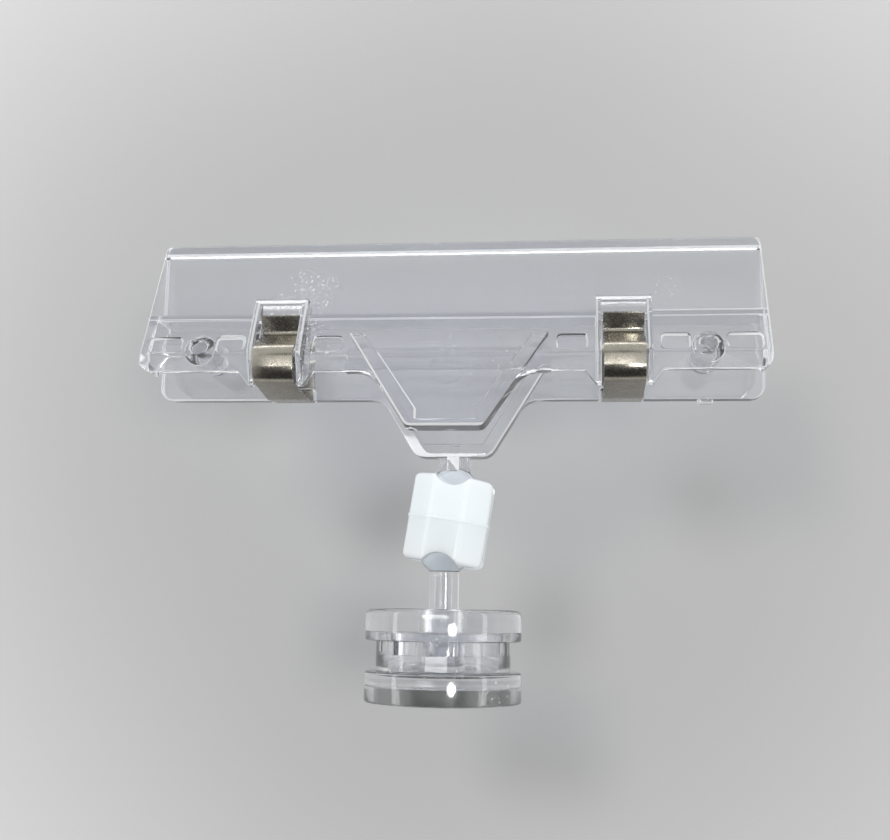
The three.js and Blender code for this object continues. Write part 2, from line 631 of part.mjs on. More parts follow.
// Finger lever that flares forward below the bar, with its V-shaped rib
function frontLever() {
  const lay = { angle: leverAngle, y: -FRONT_LEVER_REACH, z: FRONT_LEVER_BOTTOM };
  const widthAt = (run) => FRONT_LEVER_TIP + leverSpread * run;
  const barRun = leverRun(LIP_BOTTOM);
  const topRun = leverRun(FRONT_LEVER_TOP);
  const ribRun = leverRun(FRONT_RIB_TOP);
  const shoulder = widthAt(barRun) + FRONT_LEVER_FILLET;
  const blade = prismY(roundedShape(mirrored([
    [FRONT_LEVER_TIP, 0, FRONT_LEVER_CORNER],
    [widthAt(barRun), barRun, FRONT_LEVER_FILLET],
    [shoulder, barRun],
    [shoulder, topRun],
  ])), 0, FRONT_LEVER_THICKNESS, lay);
  const outline = roundedShape(mirrored([
    [FRONT_LEVER_TIP, 0, FRONT_LEVER_CORNER],
    [widthAt(ribRun), ribRun],
  ]));
  const inner = FRONT_LEVER_TIP - FRONT_RIB_WIDTH / 2;
  const inset = (run) => widthAt(run) - FRONT_RIB_WIDTH;
  const panel = roundedShape(mirrored([
    [inner, FRONT_RIB_HEIGHT],
    [inner, FRONT_RIB_SHELF],
    [inset(ribRun + 1), ribRun + 1],
  ]));
  const rib = cut(
    prismY(outline, -FRONT_RIB_HEIGHT, FRONT_LEVER_THICKNESS / 2, lay),
    prismY(panel, -2 * FRONT_RIB_HEIGHT, FRONT_LEVER_THICKNESS, lay),
  );
  const mark = new THREE.Shape();
  mark.absarc(0, leverRun(EJECTOR_MARK_HEIGHT), EJECTOR_MARK_DIAMETER / 2, 0, 2 * Math.PI);
  return cut(join(blade, rib), prismY(mark, -FRONT_RIB_HEIGHT, EJECTOR_MARK_DEPTH, lay));
}

// Clear front jaw, trimmed to its rounded front outline
function frontJaw() {
  const half = frontHalf;
  const centres = bothSides((side) => side * springX);
  const bosses = bothSides((side) => side * fulcrumX);
  const bar = join(prismX(frontSkin(), -half, half), ledgeAndEnds());
  const open = cut(bar, ...centres.map(slotCut), ...panels());
  const body = join(open, ...centres.map(springSlot), ...bosses.map(fulcrumBoss), frontLever());
  const outline = roundedShape(mirrored([
    [half / 2, 2 * FRONT_LEVER_BOTTOM],
    [half / 2, LIP_BOTTOM - FOOT_DROP - 1],
    [half - FULCRUM_RADIUS, LIP_BOTTOM - FOOT_DROP - 1],
    [half - FULCRUM_RADIUS, LIP_BOTTOM],
    [half, LIP_BOTTOM, FRONT_LOWER_RADIUS],
    [half, FRONT_HEIGHT, FRONT_TOP_RADIUS],
  ]));
  const trim = prismY(outline, -2 * FRONT_LEVER_REACH, PLATE_THICKNESS);
  return cut(body, ...bosses.map(fulcrumCore)).intersect(trim);
}

// Closed outline of a strip of even thickness along a line through rounded corners
function ribbon(corners, thickness) {
  const last = corners.length - 1;
  const line = corners.flatMap((corner, i) => (
    roundedCorner(corners[Math.max(i - 1, 0)], corner, corners[Math.min(i + 1, last)])
  ));
  const side = (offset) => line.map((point, i) => {
    const before = line[Math.max(i - 1, 0)];
    const after = line[Math.min(i + 1, line.length - 1)];
    const ahead = after.clone().sub(point).normalize();
    const along = point.clone().sub(before).normalize().add(ahead).normalize();
    const mitre = i === line.length - 1 ? 1 : along.dot(ahead);
    const reach = offset / mitre;
    return new THREE.Vector2(point.x - reach * along.y, point.y + reach * along.x);
  });
  return new THREE.Shape([...side(thickness / 2), ...side(-thickness / 2).reverse()]);
}

// Middle line of a spring in (Y, Z): lip, crease on the slot's floor, bulge, underside, back leg
function springLine() {
  const half = SPRING_THICKNESS / 2;
  const creaseY = slotFloorY - RUN_GAP / 2 - half;
  const backY = PLATE_THICKNESS + RUN_GAP / 2 + half;
  const frontY = -SPRING_BULGE_DEPTH + half;
  const underZ = SPRING_UNDER_HEIGHT + half;
  const shoulderZ = SPRING_BULGE_HEIGHT + SPRING_BULGE_RADIUS * 0.8;
  return [
    [creaseY - SPRING_LIP_THROW, SPRING_CREASE_HEIGHT + SPRING_LIP_RISE],
    [creaseY, SPRING_CREASE_HEIGHT, SPRING_CREASE_RADIUS],
    [frontY, shoulderZ, SPRING_BULGE_RADIUS],
    [frontY, SPRING_BULGE_HEIGHT - SPRING_BULGE_RADIUS * 1.3, SPRING_BULGE_RADIUS],
    [-2 * PLATE_THICKNESS, underZ - SPRING_DROOP, SPRING_BULGE_RADIUS],
    [backY + SPRING_BACK_BEND, underZ, SPRING_BACK_BEND],
    [backY, SPRING_BACK_CONTACT, SPRING_CREASE_RADIUS],
    [backY + SPRING_BACK_BEND, SPRING_BACK_CONTACT + SPRING_BACK_RISE],
  ];
}

function spring(x) {
  return prismX(ribbon(springLine(), SPRING_THICKNESS), x - SPRING_WIDTH / 2, x + SPRING_WIDTH / 2);
}

function piece(name, body, material) {
  const mesh = new THREE.Mesh(geometryOf(body), material);
  mesh.name = name;
  return mesh;
}

// The assembly
const holder = new THREE.Group();
holder.add(
  piece('magnet', magnet(), nickelPlate),
  piece('base_cup', baseCup(), clearPlastic),
  piece('base_cap', baseCap(), clearPlastic),
  piece('ball_stud', ballStud(), clearPlastic),
);

const connector = piece('ball_connector', ballConnector(), whitePlastic);
connector.position.set(upperBall.x / 2, 0, (lowerBallZ + upperBall.z) / 2);
connector.rotation.y = lean;
holder.add(connector);

const clip = new THREE.Group();
clip.position.copy(clipOrigin);
clip.add(
  piece('back_jaw', backJaw(), clearPlastic),
  piece('front_jaw', frontJaw(), clearPlastic),
  piece('spring_left', spring(-springX), springSteel),
  piece('spring_right', spring(springX), springSteel),
);
holder.add(clip);

export default holder;
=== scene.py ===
"""Looks of a magnetic sign holder clip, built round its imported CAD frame.

A clear spring clip stands on a white double ball connector over a round magnetic base.
The classes below hold each piece's sizes in millimetres, build its mesh and dress it.
Every finished mesh is in metres, in the row frame, with its object at the origin.
"""

import json
import logging
import math
from collections.abc import Callable, Iterable, Sequence
from dataclasses import dataclass
from enum import Enum

import bmesh
import bpy
from mathutils import Matrix, Vector
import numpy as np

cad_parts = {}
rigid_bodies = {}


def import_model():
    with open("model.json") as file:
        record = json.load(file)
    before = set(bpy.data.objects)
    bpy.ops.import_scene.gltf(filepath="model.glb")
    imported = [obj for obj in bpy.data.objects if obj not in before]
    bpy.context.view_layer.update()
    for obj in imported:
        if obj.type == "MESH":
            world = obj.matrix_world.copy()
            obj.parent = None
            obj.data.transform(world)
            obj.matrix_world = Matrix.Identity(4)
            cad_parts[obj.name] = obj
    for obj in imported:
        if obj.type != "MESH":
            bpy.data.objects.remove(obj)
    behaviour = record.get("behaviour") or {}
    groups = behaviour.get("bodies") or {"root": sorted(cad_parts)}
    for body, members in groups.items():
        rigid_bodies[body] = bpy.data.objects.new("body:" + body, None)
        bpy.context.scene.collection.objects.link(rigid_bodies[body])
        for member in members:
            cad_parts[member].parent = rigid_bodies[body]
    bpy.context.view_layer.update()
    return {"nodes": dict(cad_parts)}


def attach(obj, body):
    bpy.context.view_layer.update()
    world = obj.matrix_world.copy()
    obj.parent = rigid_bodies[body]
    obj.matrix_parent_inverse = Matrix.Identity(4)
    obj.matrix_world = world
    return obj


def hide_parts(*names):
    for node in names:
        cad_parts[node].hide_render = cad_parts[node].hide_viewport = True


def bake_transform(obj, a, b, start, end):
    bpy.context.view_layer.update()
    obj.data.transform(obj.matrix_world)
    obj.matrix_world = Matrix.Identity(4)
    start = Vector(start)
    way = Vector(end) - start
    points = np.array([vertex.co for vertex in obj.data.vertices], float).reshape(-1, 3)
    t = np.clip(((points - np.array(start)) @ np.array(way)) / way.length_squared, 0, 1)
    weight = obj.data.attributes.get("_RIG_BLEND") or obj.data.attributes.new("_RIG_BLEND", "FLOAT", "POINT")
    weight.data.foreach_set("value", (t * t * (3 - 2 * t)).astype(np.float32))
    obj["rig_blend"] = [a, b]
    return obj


LOG = logging.getLogger("sign_holder")
MM = 0.001
# Face layer that marks rounded edges for the painted highlight of the clear finishes.
HIGHLIT_EDGE = "painted_edge_highlight"
CHAIN = "chain"
DOUBLES_MM = 1e-4
TURNED_EDGE_STEPS = 4
NOISE_LOW, NOISE_HIGH = 0.3, 0.7

# Places that several pieces share, in millimetres.
LOWER_BALL_Z = 24.25
CLIP_X, CLIP_Y, CLIP_Z = 1.3747, -1.0, 48.7478
SPRING_X = 27.2

Colour = tuple[float, float, float, float]
Corner = tuple[float, float, float]


class Body(Enum):
    """Rigid bodies of the frame that pieces ride on."""

    BASE = "base"
    STUD = "stud"
    CONNECTOR = "connector"
    BACK = "back"
    FRONT = "front"


class Slot(Enum):
    """Material slots of the record."""

    CLEAR = "clear_plastic"
    WHITE = "white_plastic"
    SPRING = "spring_steel"
    NICKEL = "nickel_plate"


class Side(Enum):
    """Sides of the clip, as seen from the front."""

    LEFT = -1
    RIGHT = 1


class Rays(Enum):
    """Kinds of ray that a lamp can be hidden from, as an object's settings."""

    CAMERA = "visible_camera"
    DIFFUSE = "visible_diffuse"
    GLOSSY = "visible_glossy"
    TRANSMISSION = "visible_transmission"


# Nodes and colours


def srgb(code: str) -> Colour:
    """Turns an sRGB hex colour into a linear one.

    Args:
        code: The colour, such as "#D8DADC".

    Returns:
        Linear red, green and blue, with an alpha of 1.
    """
    parts = [int(code[i : i + 2], 16) / 255 for i in (1, 3, 5)]
    red, green, blue = (
        c / 12.92 if c <= 0.04045 else ((c + 0.055) / 1.055) ** 2.4 for c in parts
    )
    return (red, green, blue, 1.0)


def add_node(
    tree: bpy.types.NodeTree,
    kind: str,
    settings: dict[str, object] | None = None,
    values: dict[str | int, object] | None = None,
    links: dict[str | int, bpy.types.NodeSocket] | None = None,
) -> bpy.types.Node:
    """Adds a node with its settings, socket values and incoming links.

    Args:
        tree: The node tree that takes the node.
        kind: The node's Blender type name.
        settings: Attributes of the node itself.
        values: Values of input sockets, by name or index.
        links: Output sockets that feed input sockets, by name or index.

    Returns:
        The new node.
    """
    node = tree.nodes.new(kind)
    for name, value in (settings or {}).items():
        setattr(node, name, value)
    for name, value in (values or {}).items():
        node.inputs[name].default_value = value
    for name, source in (links or {}).items():
        tree.links.new(source, node.inputs[name])
    return node


def new_material(name: str) -> tuple[bpy.types.Material, bpy.types.NodeTree]:
    """Makes an empty node material.

    Args:
        name: The material's name.

    Returns:
        The material and its node tree.
    """
    material = bpy.data.materials.new(name)
    material.use_nodes = True
    material.node_tree.nodes.clear()
    return material, material.node_tree


def noise(tree: bpy.types.NodeTree, size_mm: float, detail: float) -> bpy.types.Node:
    """Adds noise in the piece's own space.

    Args:
        tree: The material's node tree.
        size_mm: How far across its features are, in millimetres.
        detail: How many finer layers it has.

    Returns:
        The noise node.
    """
    where = add_node(tree, "ShaderNodeTexCoord")
    return add_node(
        tree,
        "ShaderNodeTexNoise",
        values={"Scale": 1 / (size_mm * MM), "Detail": detail, "Roughness": 0.5},
        links={"Vector": where.outputs["Object"]},
    )


def spread(
    tree: bpy.types.NodeTree, source: bpy.types.Node, low: float, high: float
) -> bpy.types.NodeSocket:
    """Spreads noise from its usual range over another.

    Args:
        tree: The material's node tree.
        source: The noise node.
        low: What the noise's low end becomes.
        high: What its high end becomes.

    Returns:
        The spread value.
    """
    step = add_node(
        tree,
        "ShaderNodeMapRange",
        values={
            "From Min": NOISE_LOW,
            "From Max": NOISE_HIGH,
            "To Min": low,
            "To Max": high,
        },
        links={"Value": source.outputs[0]},
    )
    return step.outputs[0]


def fade(
    tree: bpy.types.NodeTree, source: bpy.types.NodeSocket, start: float, end: float
) -> bpy.types.NodeSocket:
    """Goes smoothly from 0 to 1 while a source goes from start to end.

    Args:
        tree: The node tree.
        source: The value that is followed.
        start: The source's value at 0.
        end: The source's value at 1.

    Returns:
        The value from 0 to 1.
    """
    step = add_node(
        tree,
        "ShaderNodeMapRange",
        settings={"interpolation_type": "SMOOTHSTEP"},
        values={"From Min": start, "From Max": end},
        links={"Value": source},
    )
    return step.outputs[0]


def blend(
    tree: bpy.types.NodeTree,
    share: bpy.types.NodeSocket,
    under: bpy.types.NodeSocket | str,
    over: bpy.types.NodeSocket | str,
) -> bpy.types.NodeSocket:
    """Lays one tone over another by a share.

    Args:
        tree: The node tree.
        share: How much of the upper tone shows.
        under: The tone below, as a colour code or a socket.
        over: The tone above, as a colour code or a socket.

    Returns:
        The blended tone.
    """
    tones = {6: under, 7: over}
    plain = {place: srgb(tone) for place, tone in tones.items() if isinstance(tone, str)}
    linked = {place: tone for place, tone in tones.items() if place not in plain}
    mix = add_node(
        tree,
        "ShaderNodeMix",
        settings={"data_type": "RGBA"},
        values=plain,
        links={0: share, **linked},
    )
    return mix.outputs[2]


def show(tree: bpy.types.NodeTree, shader: bpy.types.NodeSocket, lamp_tint: str = "") -> None:
    """Links a shader to the surface output, and lets lamp light through it.

    Args:
        tree: The material's node tree.
        shader: The shader that is seen.
        lamp_tint: Colour that lamp light takes on its way through, or none where it is stopped.
    """
    if lamp_tint:
        passing = add_node(
            tree, "ShaderNodeBsdfTransparent", values={"Color": srgb(lamp_tint)}
        ).outputs[0]
        lamp_light = add_node(tree, "ShaderNodeLightPath").outputs["Is Shadow Ray"]
        shader = add_node(
            tree, "ShaderNodeMixShader", links={0: lamp_light, 1: shader, 2: passing}
        ).outputs[0]
    add_node(tree, "ShaderNodeOutputMaterial", links={"Surface": shader})


# Finishes


@dataclass(frozen=True)
class ClearPolystyrene:
    """Crystal polystyrene, injection moulded against polished steel.

    It is water clear and glossy with a faint cool tint, so the eye finds it by the bright and dark
    lines at its edges and by slow ripples where the melt flowed. Its rounded edges carry a painted
    highlight: a share of soft white that stands in for the light they catch.
    """

    name: str
    tint: str
    roughness: float
    ripple_mm: float
    ripple_depth_mm: float
    milk: float
    edge_highlight_share: float
    scuff_mm: float
    scuff_field_mm: float
    ior: float = 1.55
    lamp_tint: str = "#E9EBEF"
    haze_ripples: float = 3.0
    gloss: tuple[float, float] = (0.5, 1.5)
    haze_scuff_and_highlight_white: str = "#F7F7F6"
    scuff_milk: float = 0.6
    fleck_fade: tuple[float, float] = (0.66, 0.7)
    field_fade: tuple[float, float] = (0.63, 0.72)

    def make(self) -> bpy.types.Material:
        """Builds the material.

        Returns:
            The clear material, which lets the lamps' light through.
        """
        material, tree = new_material(self.name)
        ripple = noise(tree, self.ripple_mm, detail=1.5)
        bump = add_node(
            tree,
            "ShaderNodeBump",
            values={"Strength": 1.0, "Distance": self.ripple_depth_mm * MM},
            links={"Height": ripple.outputs[0]},
        )
        haze = noise(tree, self.haze_ripples * self.ripple_mm, detail=3.0)
        rough = spread(tree, haze, *(part * self.roughness for part in self.gloss))
        plastic = add_node(
            tree,
            "ShaderNodeBsdfPrincipled",
            values={
                "Base Color": srgb(self.tint),
                "Metallic": 0.0,
                "IOR": self.ior,
                "Transmission Weight": 1.0,
            },
            links={"Normal": bump.outputs[0], "Roughness": rough},
        )
        pale = add_node(
            tree,
            "ShaderNodeMixShader",
            links={
                0: self.paleness(tree),
                1: plastic.outputs[0],
                2: self.whiteness(tree),
            },
        )
        # Clear mouldings throw pale shadows, so lamp light passes with a small loss.
        show(tree, pale.outputs[0], self.lamp_tint)
        return material

    def whiteness(self, tree: bpy.types.NodeTree) -> bpy.types.NodeSocket:
        """Adds the soft white of haze and fine scratches, lit from both sides. On rounded edges the same
        white is a painted highlight.

        Args:
            tree: The material's node tree.

        Returns:
            The white shader.
        """
        lit, glowing = (
            add_node(tree, kind, values={"Color": srgb(self.haze_scuff_and_highlight_white)}).outputs[0]
            for kind in ("ShaderNodeBsdfDiffuse", "ShaderNodeBsdfTranslucent")
        )
        both = add_node(
            tree, "ShaderNodeMixShader", values={0: 0.5}, links={1: lit, 2: glowing}
        )
        return both.outputs[0]

    def paleness(self, tree: bpy.types.NodeTree) -> bpy.types.NodeSocket:
        """Adds the share of soft white: a little all over as haze, a painted highlight on rounded
        edges, and more in scuffs.

        Args:
            tree: The material's node tree.

        Returns:
            The share, from 0 to 1.
        """
        # Rounded edges get a painted highlight: soft white that stands in for the light they catch.
        edge_highlight_mask = add_node(
            tree, "ShaderNodeAttribute", settings={"attribute_name": HIGHLIT_EDGE}
        )
        edges = add_node(
            tree,
            "ShaderNodeMath",
            settings={"operation": "MULTIPLY_ADD"},
            values={1: self.edge_highlight_share, 2: self.milk},
            links={0: edge_highlight_mask.outputs["Fac"]},
        )
        # Scuffs are fine flecks that gather in a few fields, where the clip rubs in its box.
        flecks = noise(tree, self.scuff_mm, detail=1.0).outputs[0]
        fields = noise(tree, self.scuff_field_mm, detail=0.0).outputs[0]
        scuffs = add_node(
            tree,
            "ShaderNodeMath",
            settings={"operation": "MULTIPLY"},
            links={
                0: fade(tree, flecks, *self.fleck_fade),
                1: fade(tree, fields, *self.field_fade),
            },
        )
        share = add_node(
            tree,
            "ShaderNodeMath",
            settings={"operation": "MULTIPLY_ADD", "use_clamp": True},
            values={1: self.scuff_milk},
            links={0: scuffs.outputs[0], 2: edges.outputs[0]},
        )
        return share.outputs[0]


@dataclass(frozen=True)
class WhiteAcetal:
    """White acetal, injection moulded: waxy, softly glossy, and a little light goes into it."""

    name: str
    colour: str
    roughness: float
    glow_mm: float
    lamp_tint: str
    grain_mm: float
    grain_depth_mm: float
    grain_strength: float = 0.6
    gloss: tuple[float, float] = (0.95, 1.05)
    ior: float = 1.48

    def make(self) -> bpy.types.Material:
        """Builds the material.

        Returns:
            The white material.
        """
        material, tree = new_material(self.name)
        grain = noise(tree, self.grain_mm, detail=4.0)
        bump = add_node(
            tree,
            "ShaderNodeBump",
            values={"Strength": self.grain_strength, "Distance": self.grain_depth_mm * MM},
            links={"Height": grain.outputs[0]},
        )
        rough = spread(tree, grain, *(part * self.roughness for part in self.gloss))
        plastic = add_node(
            tree,
            "ShaderNodeBsdfPrincipled",
            values={
                "Base Color": srgb(self.colour),
                "Metallic": 0.0,
                "IOR": self.ior,
                "Subsurface Weight": 1.0,
                "Subsurface Radius": (1.0, 1.0, 1.0),
                "Subsurface Scale": self.glow_mm * MM,
            },
            links={"Normal": bump.outputs[0], "Roughness": rough},
        )
        # Some lamp light gets through the thin walls, which keeps the sockets pale inside.
        show(tree, plastic.outputs[0], self.lamp_tint)
        return material


@dataclass(frozen=True)
class SatinNickel:
    """Nickel-plated spring steel strip, rolled, then tumbled.

    It is a warm grey metal with a satin gloss, and small pits make its highlights sparkle.
    """

    name: str
    colour: str
    shade: str
    roughness: float
    pit_mm: float
    pit_depth_mm: float
    cloud_mm: float
    pit_strength: float = 0.5
    gloss: tuple[float, float] = (0.8, 1.3)
    clouds: tuple[float, float] = (0.2, 1.0)

    def make(self) -> bpy.types.Material:
        """Builds the material.

        Returns:
            The strip's metal.
        """
        material, tree = new_material(self.name)
        pits = noise(tree, self.pit_mm, detail=2.0)
        cloud = noise(tree, self.cloud_mm, detail=3.0)
        bump = add_node(
            tree,
            "ShaderNodeBump",
            values={"Strength": self.pit_strength, "Distance": self.pit_depth_mm * MM},
            links={"Height": pits.outputs[0]},
        )
        tone = blend(tree, spread(tree, cloud, *self.clouds), self.shade, self.colour)
        rough = spread(tree, pits, *(part * self.roughness for part in self.gloss))
        metal = add_node(
            tree,
            "ShaderNodeBsdfPrincipled",
            values={"Metallic": 1.0},
            links={"Base Color": tone, "Roughness": rough, "Normal": bump.outputs[0]},
        )
        show(tree, metal.outputs[0])
        return material


@dataclass(frozen=True)
class BrightNickel:
    """Bright nickel plate on a sintered disc magnet: nearly a mirror, with a few dull patches."""

    name: str
    colour: str
    roughness: float
    patch_mm: float
    gloss: tuple[float, float] = (0.7, 1.6)

    def make(self) -> bpy.types.Material:
        """Builds the material.

        Returns:
            The magnet's plate.
        """
        material, tree = new_material(self.name)
        patches = noise(tree, self.patch_mm, detail=3.0)
        rough = spread(tree, patches, *(part * self.roughness for part in self.gloss))
        metal = add_node(
            tree,
            "ShaderNodeBsdfPrincipled",
            values={"Base Color": srgb(self.colour), "Metallic": 1.0},
            links={"Roughness": rough},
        )
        show(tree, metal.outputs[0])
        return material


@dataclass(frozen=True)
class PaleBoard:
    """Pale matt display board behind the object, seen from its front only."""

    name: str
    colour: str
    shade: str
    cloud_mm: float = 180.0
    roughness: float = 0.9
    sheen: float = 0.1
    middle_mm: Corner = (0.0, 60.0, 50.0)
    plain_mm: float = 40.0
    bright_mm: float = 260.0
    glow: float = 0.97

    def make(self) -> bpy.types.Material:
        """Builds the material.

        Returns:
            The board's material, which shows nothing from behind.
        """
        material, tree = new_material(self.name)
        cloud = noise(tree, self.cloud_mm, detail=1.0)
        tone = blend(tree, spread(tree, cloud, 0.0, 1.0), self.shade, self.colour)
        board = add_node(
            tree,
            "ShaderNodeBsdfPrincipled",
            values={"Roughness": self.roughness, "Specular IOR Level": self.sheen},
            links={"Base Color": tone},
        )
        # Away from the object the board runs out into the bright room, which clear edges pick up.
        where = add_node(tree, "ShaderNodeTexCoord")
        far = add_node(
            tree,
            "ShaderNodeVectorMath",
            settings={"operation": "DISTANCE"},
            values={1: Vector(self.middle_mm) * MM},
            links={0: where.outputs["Object"]},
        )
        share = fade(tree, far.outputs["Value"], self.plain_mm * MM, self.bright_mm * MM)
        glow = add_node(
            tree,
            "ShaderNodeEmission",
            values={"Color": srgb("#FFFFFF"), "Strength": self.glow},
        )
        sweep = add_node(
            tree,
            "ShaderNodeMixShader",
            links={0: share, 1: board.outputs[0], 2: glow.outputs[0]},
        )
        nothing = add_node(tree, "ShaderNodeBsdfTransparent")
        geometry = add_node(tree, "ShaderNodeNewGeometry")
        mixed = add_node(
            tree,
            "ShaderNodeMixShader",
            links={
                0: geometry.outputs["Backfacing"],
                1: sweep.outputs[0],
                2: nothing.outputs[0],
            },
        )
        show(tree, mixed.outputs[0])
        return material


# Mesh helpers


def near(value: float, target: float, slack: float = 2e-3) -> bool:
    """Tells whether two lengths in millimetres match."""
    return abs(value - target) < slack


def bevel(
    bm: bmesh.types.BMesh,
    edges: Iterable[bmesh.types.BMEdge],
    offset: float,
    segments: int,
    clamp: bool = True,
) -> list[bmesh.types.BMFace]:
    """Rounds edges of a bmesh.

    Args:
        bm: The mesh.
        edges: The edges to round.
        offset: How far the rounding reaches from each edge, in the mesh's unit.
        segments: Faces across the rounding.
        clamp: Whether the reach is cut short where two roundings would meet.

    Returns:
        The faces of the rounding.
    """
    made = bmesh.ops.bevel(
        bm,
        geom=list(edges),
        offset=offset,
        offset_type="OFFSET",
        segments=segments,
        profile=0.5,
        affect="EDGES",
        clamp_overlap=clamp,
        material=-1,
    )
    return made["faces"]


def rotate(bm: bmesh.types.BMesh, angle: float, axis: str) -> None:
    """Rotates a bmesh about an axis through the origin, by an angle in radians."""
    matrix = Matrix.Rotation(angle, 3, axis)
    bmesh.ops.rotate(bm, verts=bm.verts, cent=(0, 0, 0), matrix=matrix)


def block(size: Corner, middle: Corner) -> bmesh.types.BMesh:
    """Makes a block.

    Args:
        size: Its sizes along X, Y and Z.
        middle: The place of its middle.

    Returns:
        The block's mesh.
    """
    bm = bmesh.new()
    bmesh.ops.create_cube(bm, size=1.0)
    bmesh.ops.scale(bm, verts=bm.verts, vec=size)
    bmesh.ops.translate(bm, verts=bm.verts, vec=middle)
    return bm


def prism(sides: int, radius: float, length: float) -> bmesh.types.BMesh:
    """Makes a straight bar with flat ends, along Z and round the origin.

    Args:
        sides: How many sides it has.
        radius: Distance from its middle line to its corners.
        length: Its length.

    Returns:
        The bar's mesh.
    """
    bm = bmesh.new()
    bmesh.ops.create_cone(
        bm,
        cap_ends=True,
        cap_tris=False,
        segments=sides,
        radius1=radius,
        radius2=radius,
        depth=length,
    )
    return bm


def merged(mesh: bpy.types.Mesh, slack_mm: float) -> bmesh.types.BMesh:
    """Copies a mesh into a bmesh in millimetres, with its doubles merged.

    Args:
        mesh: The mesh, in metres.
        slack_mm: How far apart doubles may be, in millimetres.

    Returns:
        The merged copy.
    """
    bm = bmesh.new()
    bm.from_mesh(mesh)
    bm.transform(Matrix.Scale(1 / MM, 4))
    bmesh.ops.remove_doubles(bm, verts=bm.verts, dist=slack_mm)
    return bm


def spin_whole(bm: bmesh.types.BMesh, steps: int) -> None:
    """Spins a section a whole turn about the base's axis and closes it.

    Args:
        bm: The mesh, which holds the section and nothing else.
        steps: Faces round the turn.
    """
    bmesh.ops.spin(
        bm,
        geom=[*bm.verts, *bm.edges],
        cent=(0, 0, 0),
        axis=(0, 0, 1),
        dvec=(0, 0, 0),
        angle=2 * math.pi,
        steps=steps,
        use_merge=True,
        use_normal_flip=False,
        use_duplicate=False,
    )
    bmesh.ops.remove_doubles(bm, verts=bm.verts, dist=DOUBLES_MM)
    bmesh.ops.recalc_face_normals(bm, faces=bm.faces)


def turn(section: Sequence[Corner], steps: int, closed: bool = False) -> bmesh.types.BMesh:
    """Turns a section about the base's axis and rounds its corners.

    Args:
        section: Radius, height and edge radius of each corner, in order.
        steps: Faces round the full turn.
        closed: True where the last corner joins the first.

    Returns:
        The closed turned mesh, in millimetres.
    """
    bm = bmesh.new()
    corners = [bm.verts.new((radius, 0, height)) for radius, height, _ in section]
    pairs = list(zip(corners, corners[1:]))
    if closed:
        pairs.append((corners[-1], corners[0]))
    for pair in pairs:
        bm.edges.new(pair)
    spin_whole(bm, steps)
    for radius, height, edge in section:
        if edge > 0:
            ring = [
                e
                for e in bm.edges
                if all(
                    near(math.hypot(v.co.x, v.co.y), radius) and near(v.co.z, height)
                    for v in e.verts
                )
            ]
            bevel(bm, ring, edge, TURNED_EDGE_STEPS)
    return bm


def object_from(bm: bmesh.types.BMesh, name: str) -> bpy.types.Object:
    """Makes a linked object from a bmesh, and frees the bmesh.

    Args:
        bm: The mesh, in millimetres.
        name: The object's name.

    Returns:
        The object, in metres.
    """
    bm.transform(Matrix.Scale(MM, 4))
    mesh = bpy.data.meshes.new(name)
    bm.to_mesh(mesh)
    bm.free()
    made = bpy.data.objects.new(name, mesh)
    bpy.context.scene.collection.objects.link(made)
    return made


def settle(thing: bpy.types.Object) -> bpy.types.Object:
    """Applies an object's modifiers to its mesh.

    Args:
        thing: The object.

    Returns:
        The same object, with no modifiers left.
    """
    graph = bpy.context.evaluated_depsgraph_get()
    mesh = bpy.data.meshes.new_from_object(thing.evaluated_get(graph))
    mesh.name = thing.name
    thing.modifiers.clear()
    thing.data = mesh
    return thing


def put_in_order(mesh: bpy.types.Mesh) -> None:
    """Puts a mesh's points and faces in an order that follows from their places.

    The Boolean modifier gives one shape each run, but not in one order, and what comes later,
    such as rounding, depends on the order.

    Args:
        mesh: The mesh, which is rewritten.
    """
    spots = [tuple(vert.co) for vert in mesh.vertices]
    order = sorted(range(len(spots)), key=spots.__getitem__)
    rank = {index: place for place, index in enumerate(order)}
    rings: list[list[int]] = []
    for face in mesh.polygons:
        ring = [rank[index] for index in face.vertices]
        start = ring.index(min(ring))
        rings.append(ring[start:] + ring[:start])
    bm = bmesh.new()
    verts = [bm.verts.new(spots[index]) for index in order]
    for ring in sorted(rings):
        bm.faces.new([verts[place] for place in ring])
    bm.normal_update()
    bm.to_mesh(mesh)
    bm.free()


def combine(
    thing: bpy.types.Object,
    tools: Sequence[bpy.types.Object],
    operation: str,
) -> bpy.types.Object:
    """Joins tools to an object or cuts them from it, and removes the tools.

    Args:
        thing: The object that is changed.
        tools: The closed meshes to join or cut.
        operation: "UNION" or "DIFFERENCE".

    Returns:
        The changed object.
    """
    for tool in tools:
        step = thing.modifiers.new("combine", "BOOLEAN")
        step.operation = operation
        step.solver = "EXACT"
        step.object = tool
    settle(thing)
    put_in_order(thing.data)
    for tool in tools:
        bpy.data.objects.remove(tool)
    return thing


def soften(thing: bpy.types.Object, width_mm: float, angle_deg: float) -> bpy.types.Object:
    """Rounds every edge of an object that is sharper than an angle.

    Args:
        thing: The object.
        width_mm: Reach of the rounding, in millimetres.
        angle_deg: The angle, in degrees.

    Returns:
        The same object.
    """
    step = thing.modifiers.new("soften", "BEVEL")
    step.width = width_mm * MM
    step.segments = 2
    step.limit_method = "ANGLE"
    step.angle_limit = math.radians(angle_deg)
    step.use_clamp_overlap = True
    return settle(thing)


def smooth(thing: bpy.types.Object, angle_deg: float = 35.0) -> None:
    """Shades an object smooth, with edges above an angle kept sharp.

    Args:
        thing: The object.
        angle_deg: The angle, in degrees.
    """
    mesh = thing.data
    mesh.polygons.foreach_set("use_smooth", [True] * len(mesh.polygons))
    mesh.set_sharp_from_angle(angle=math.radians(angle_deg))


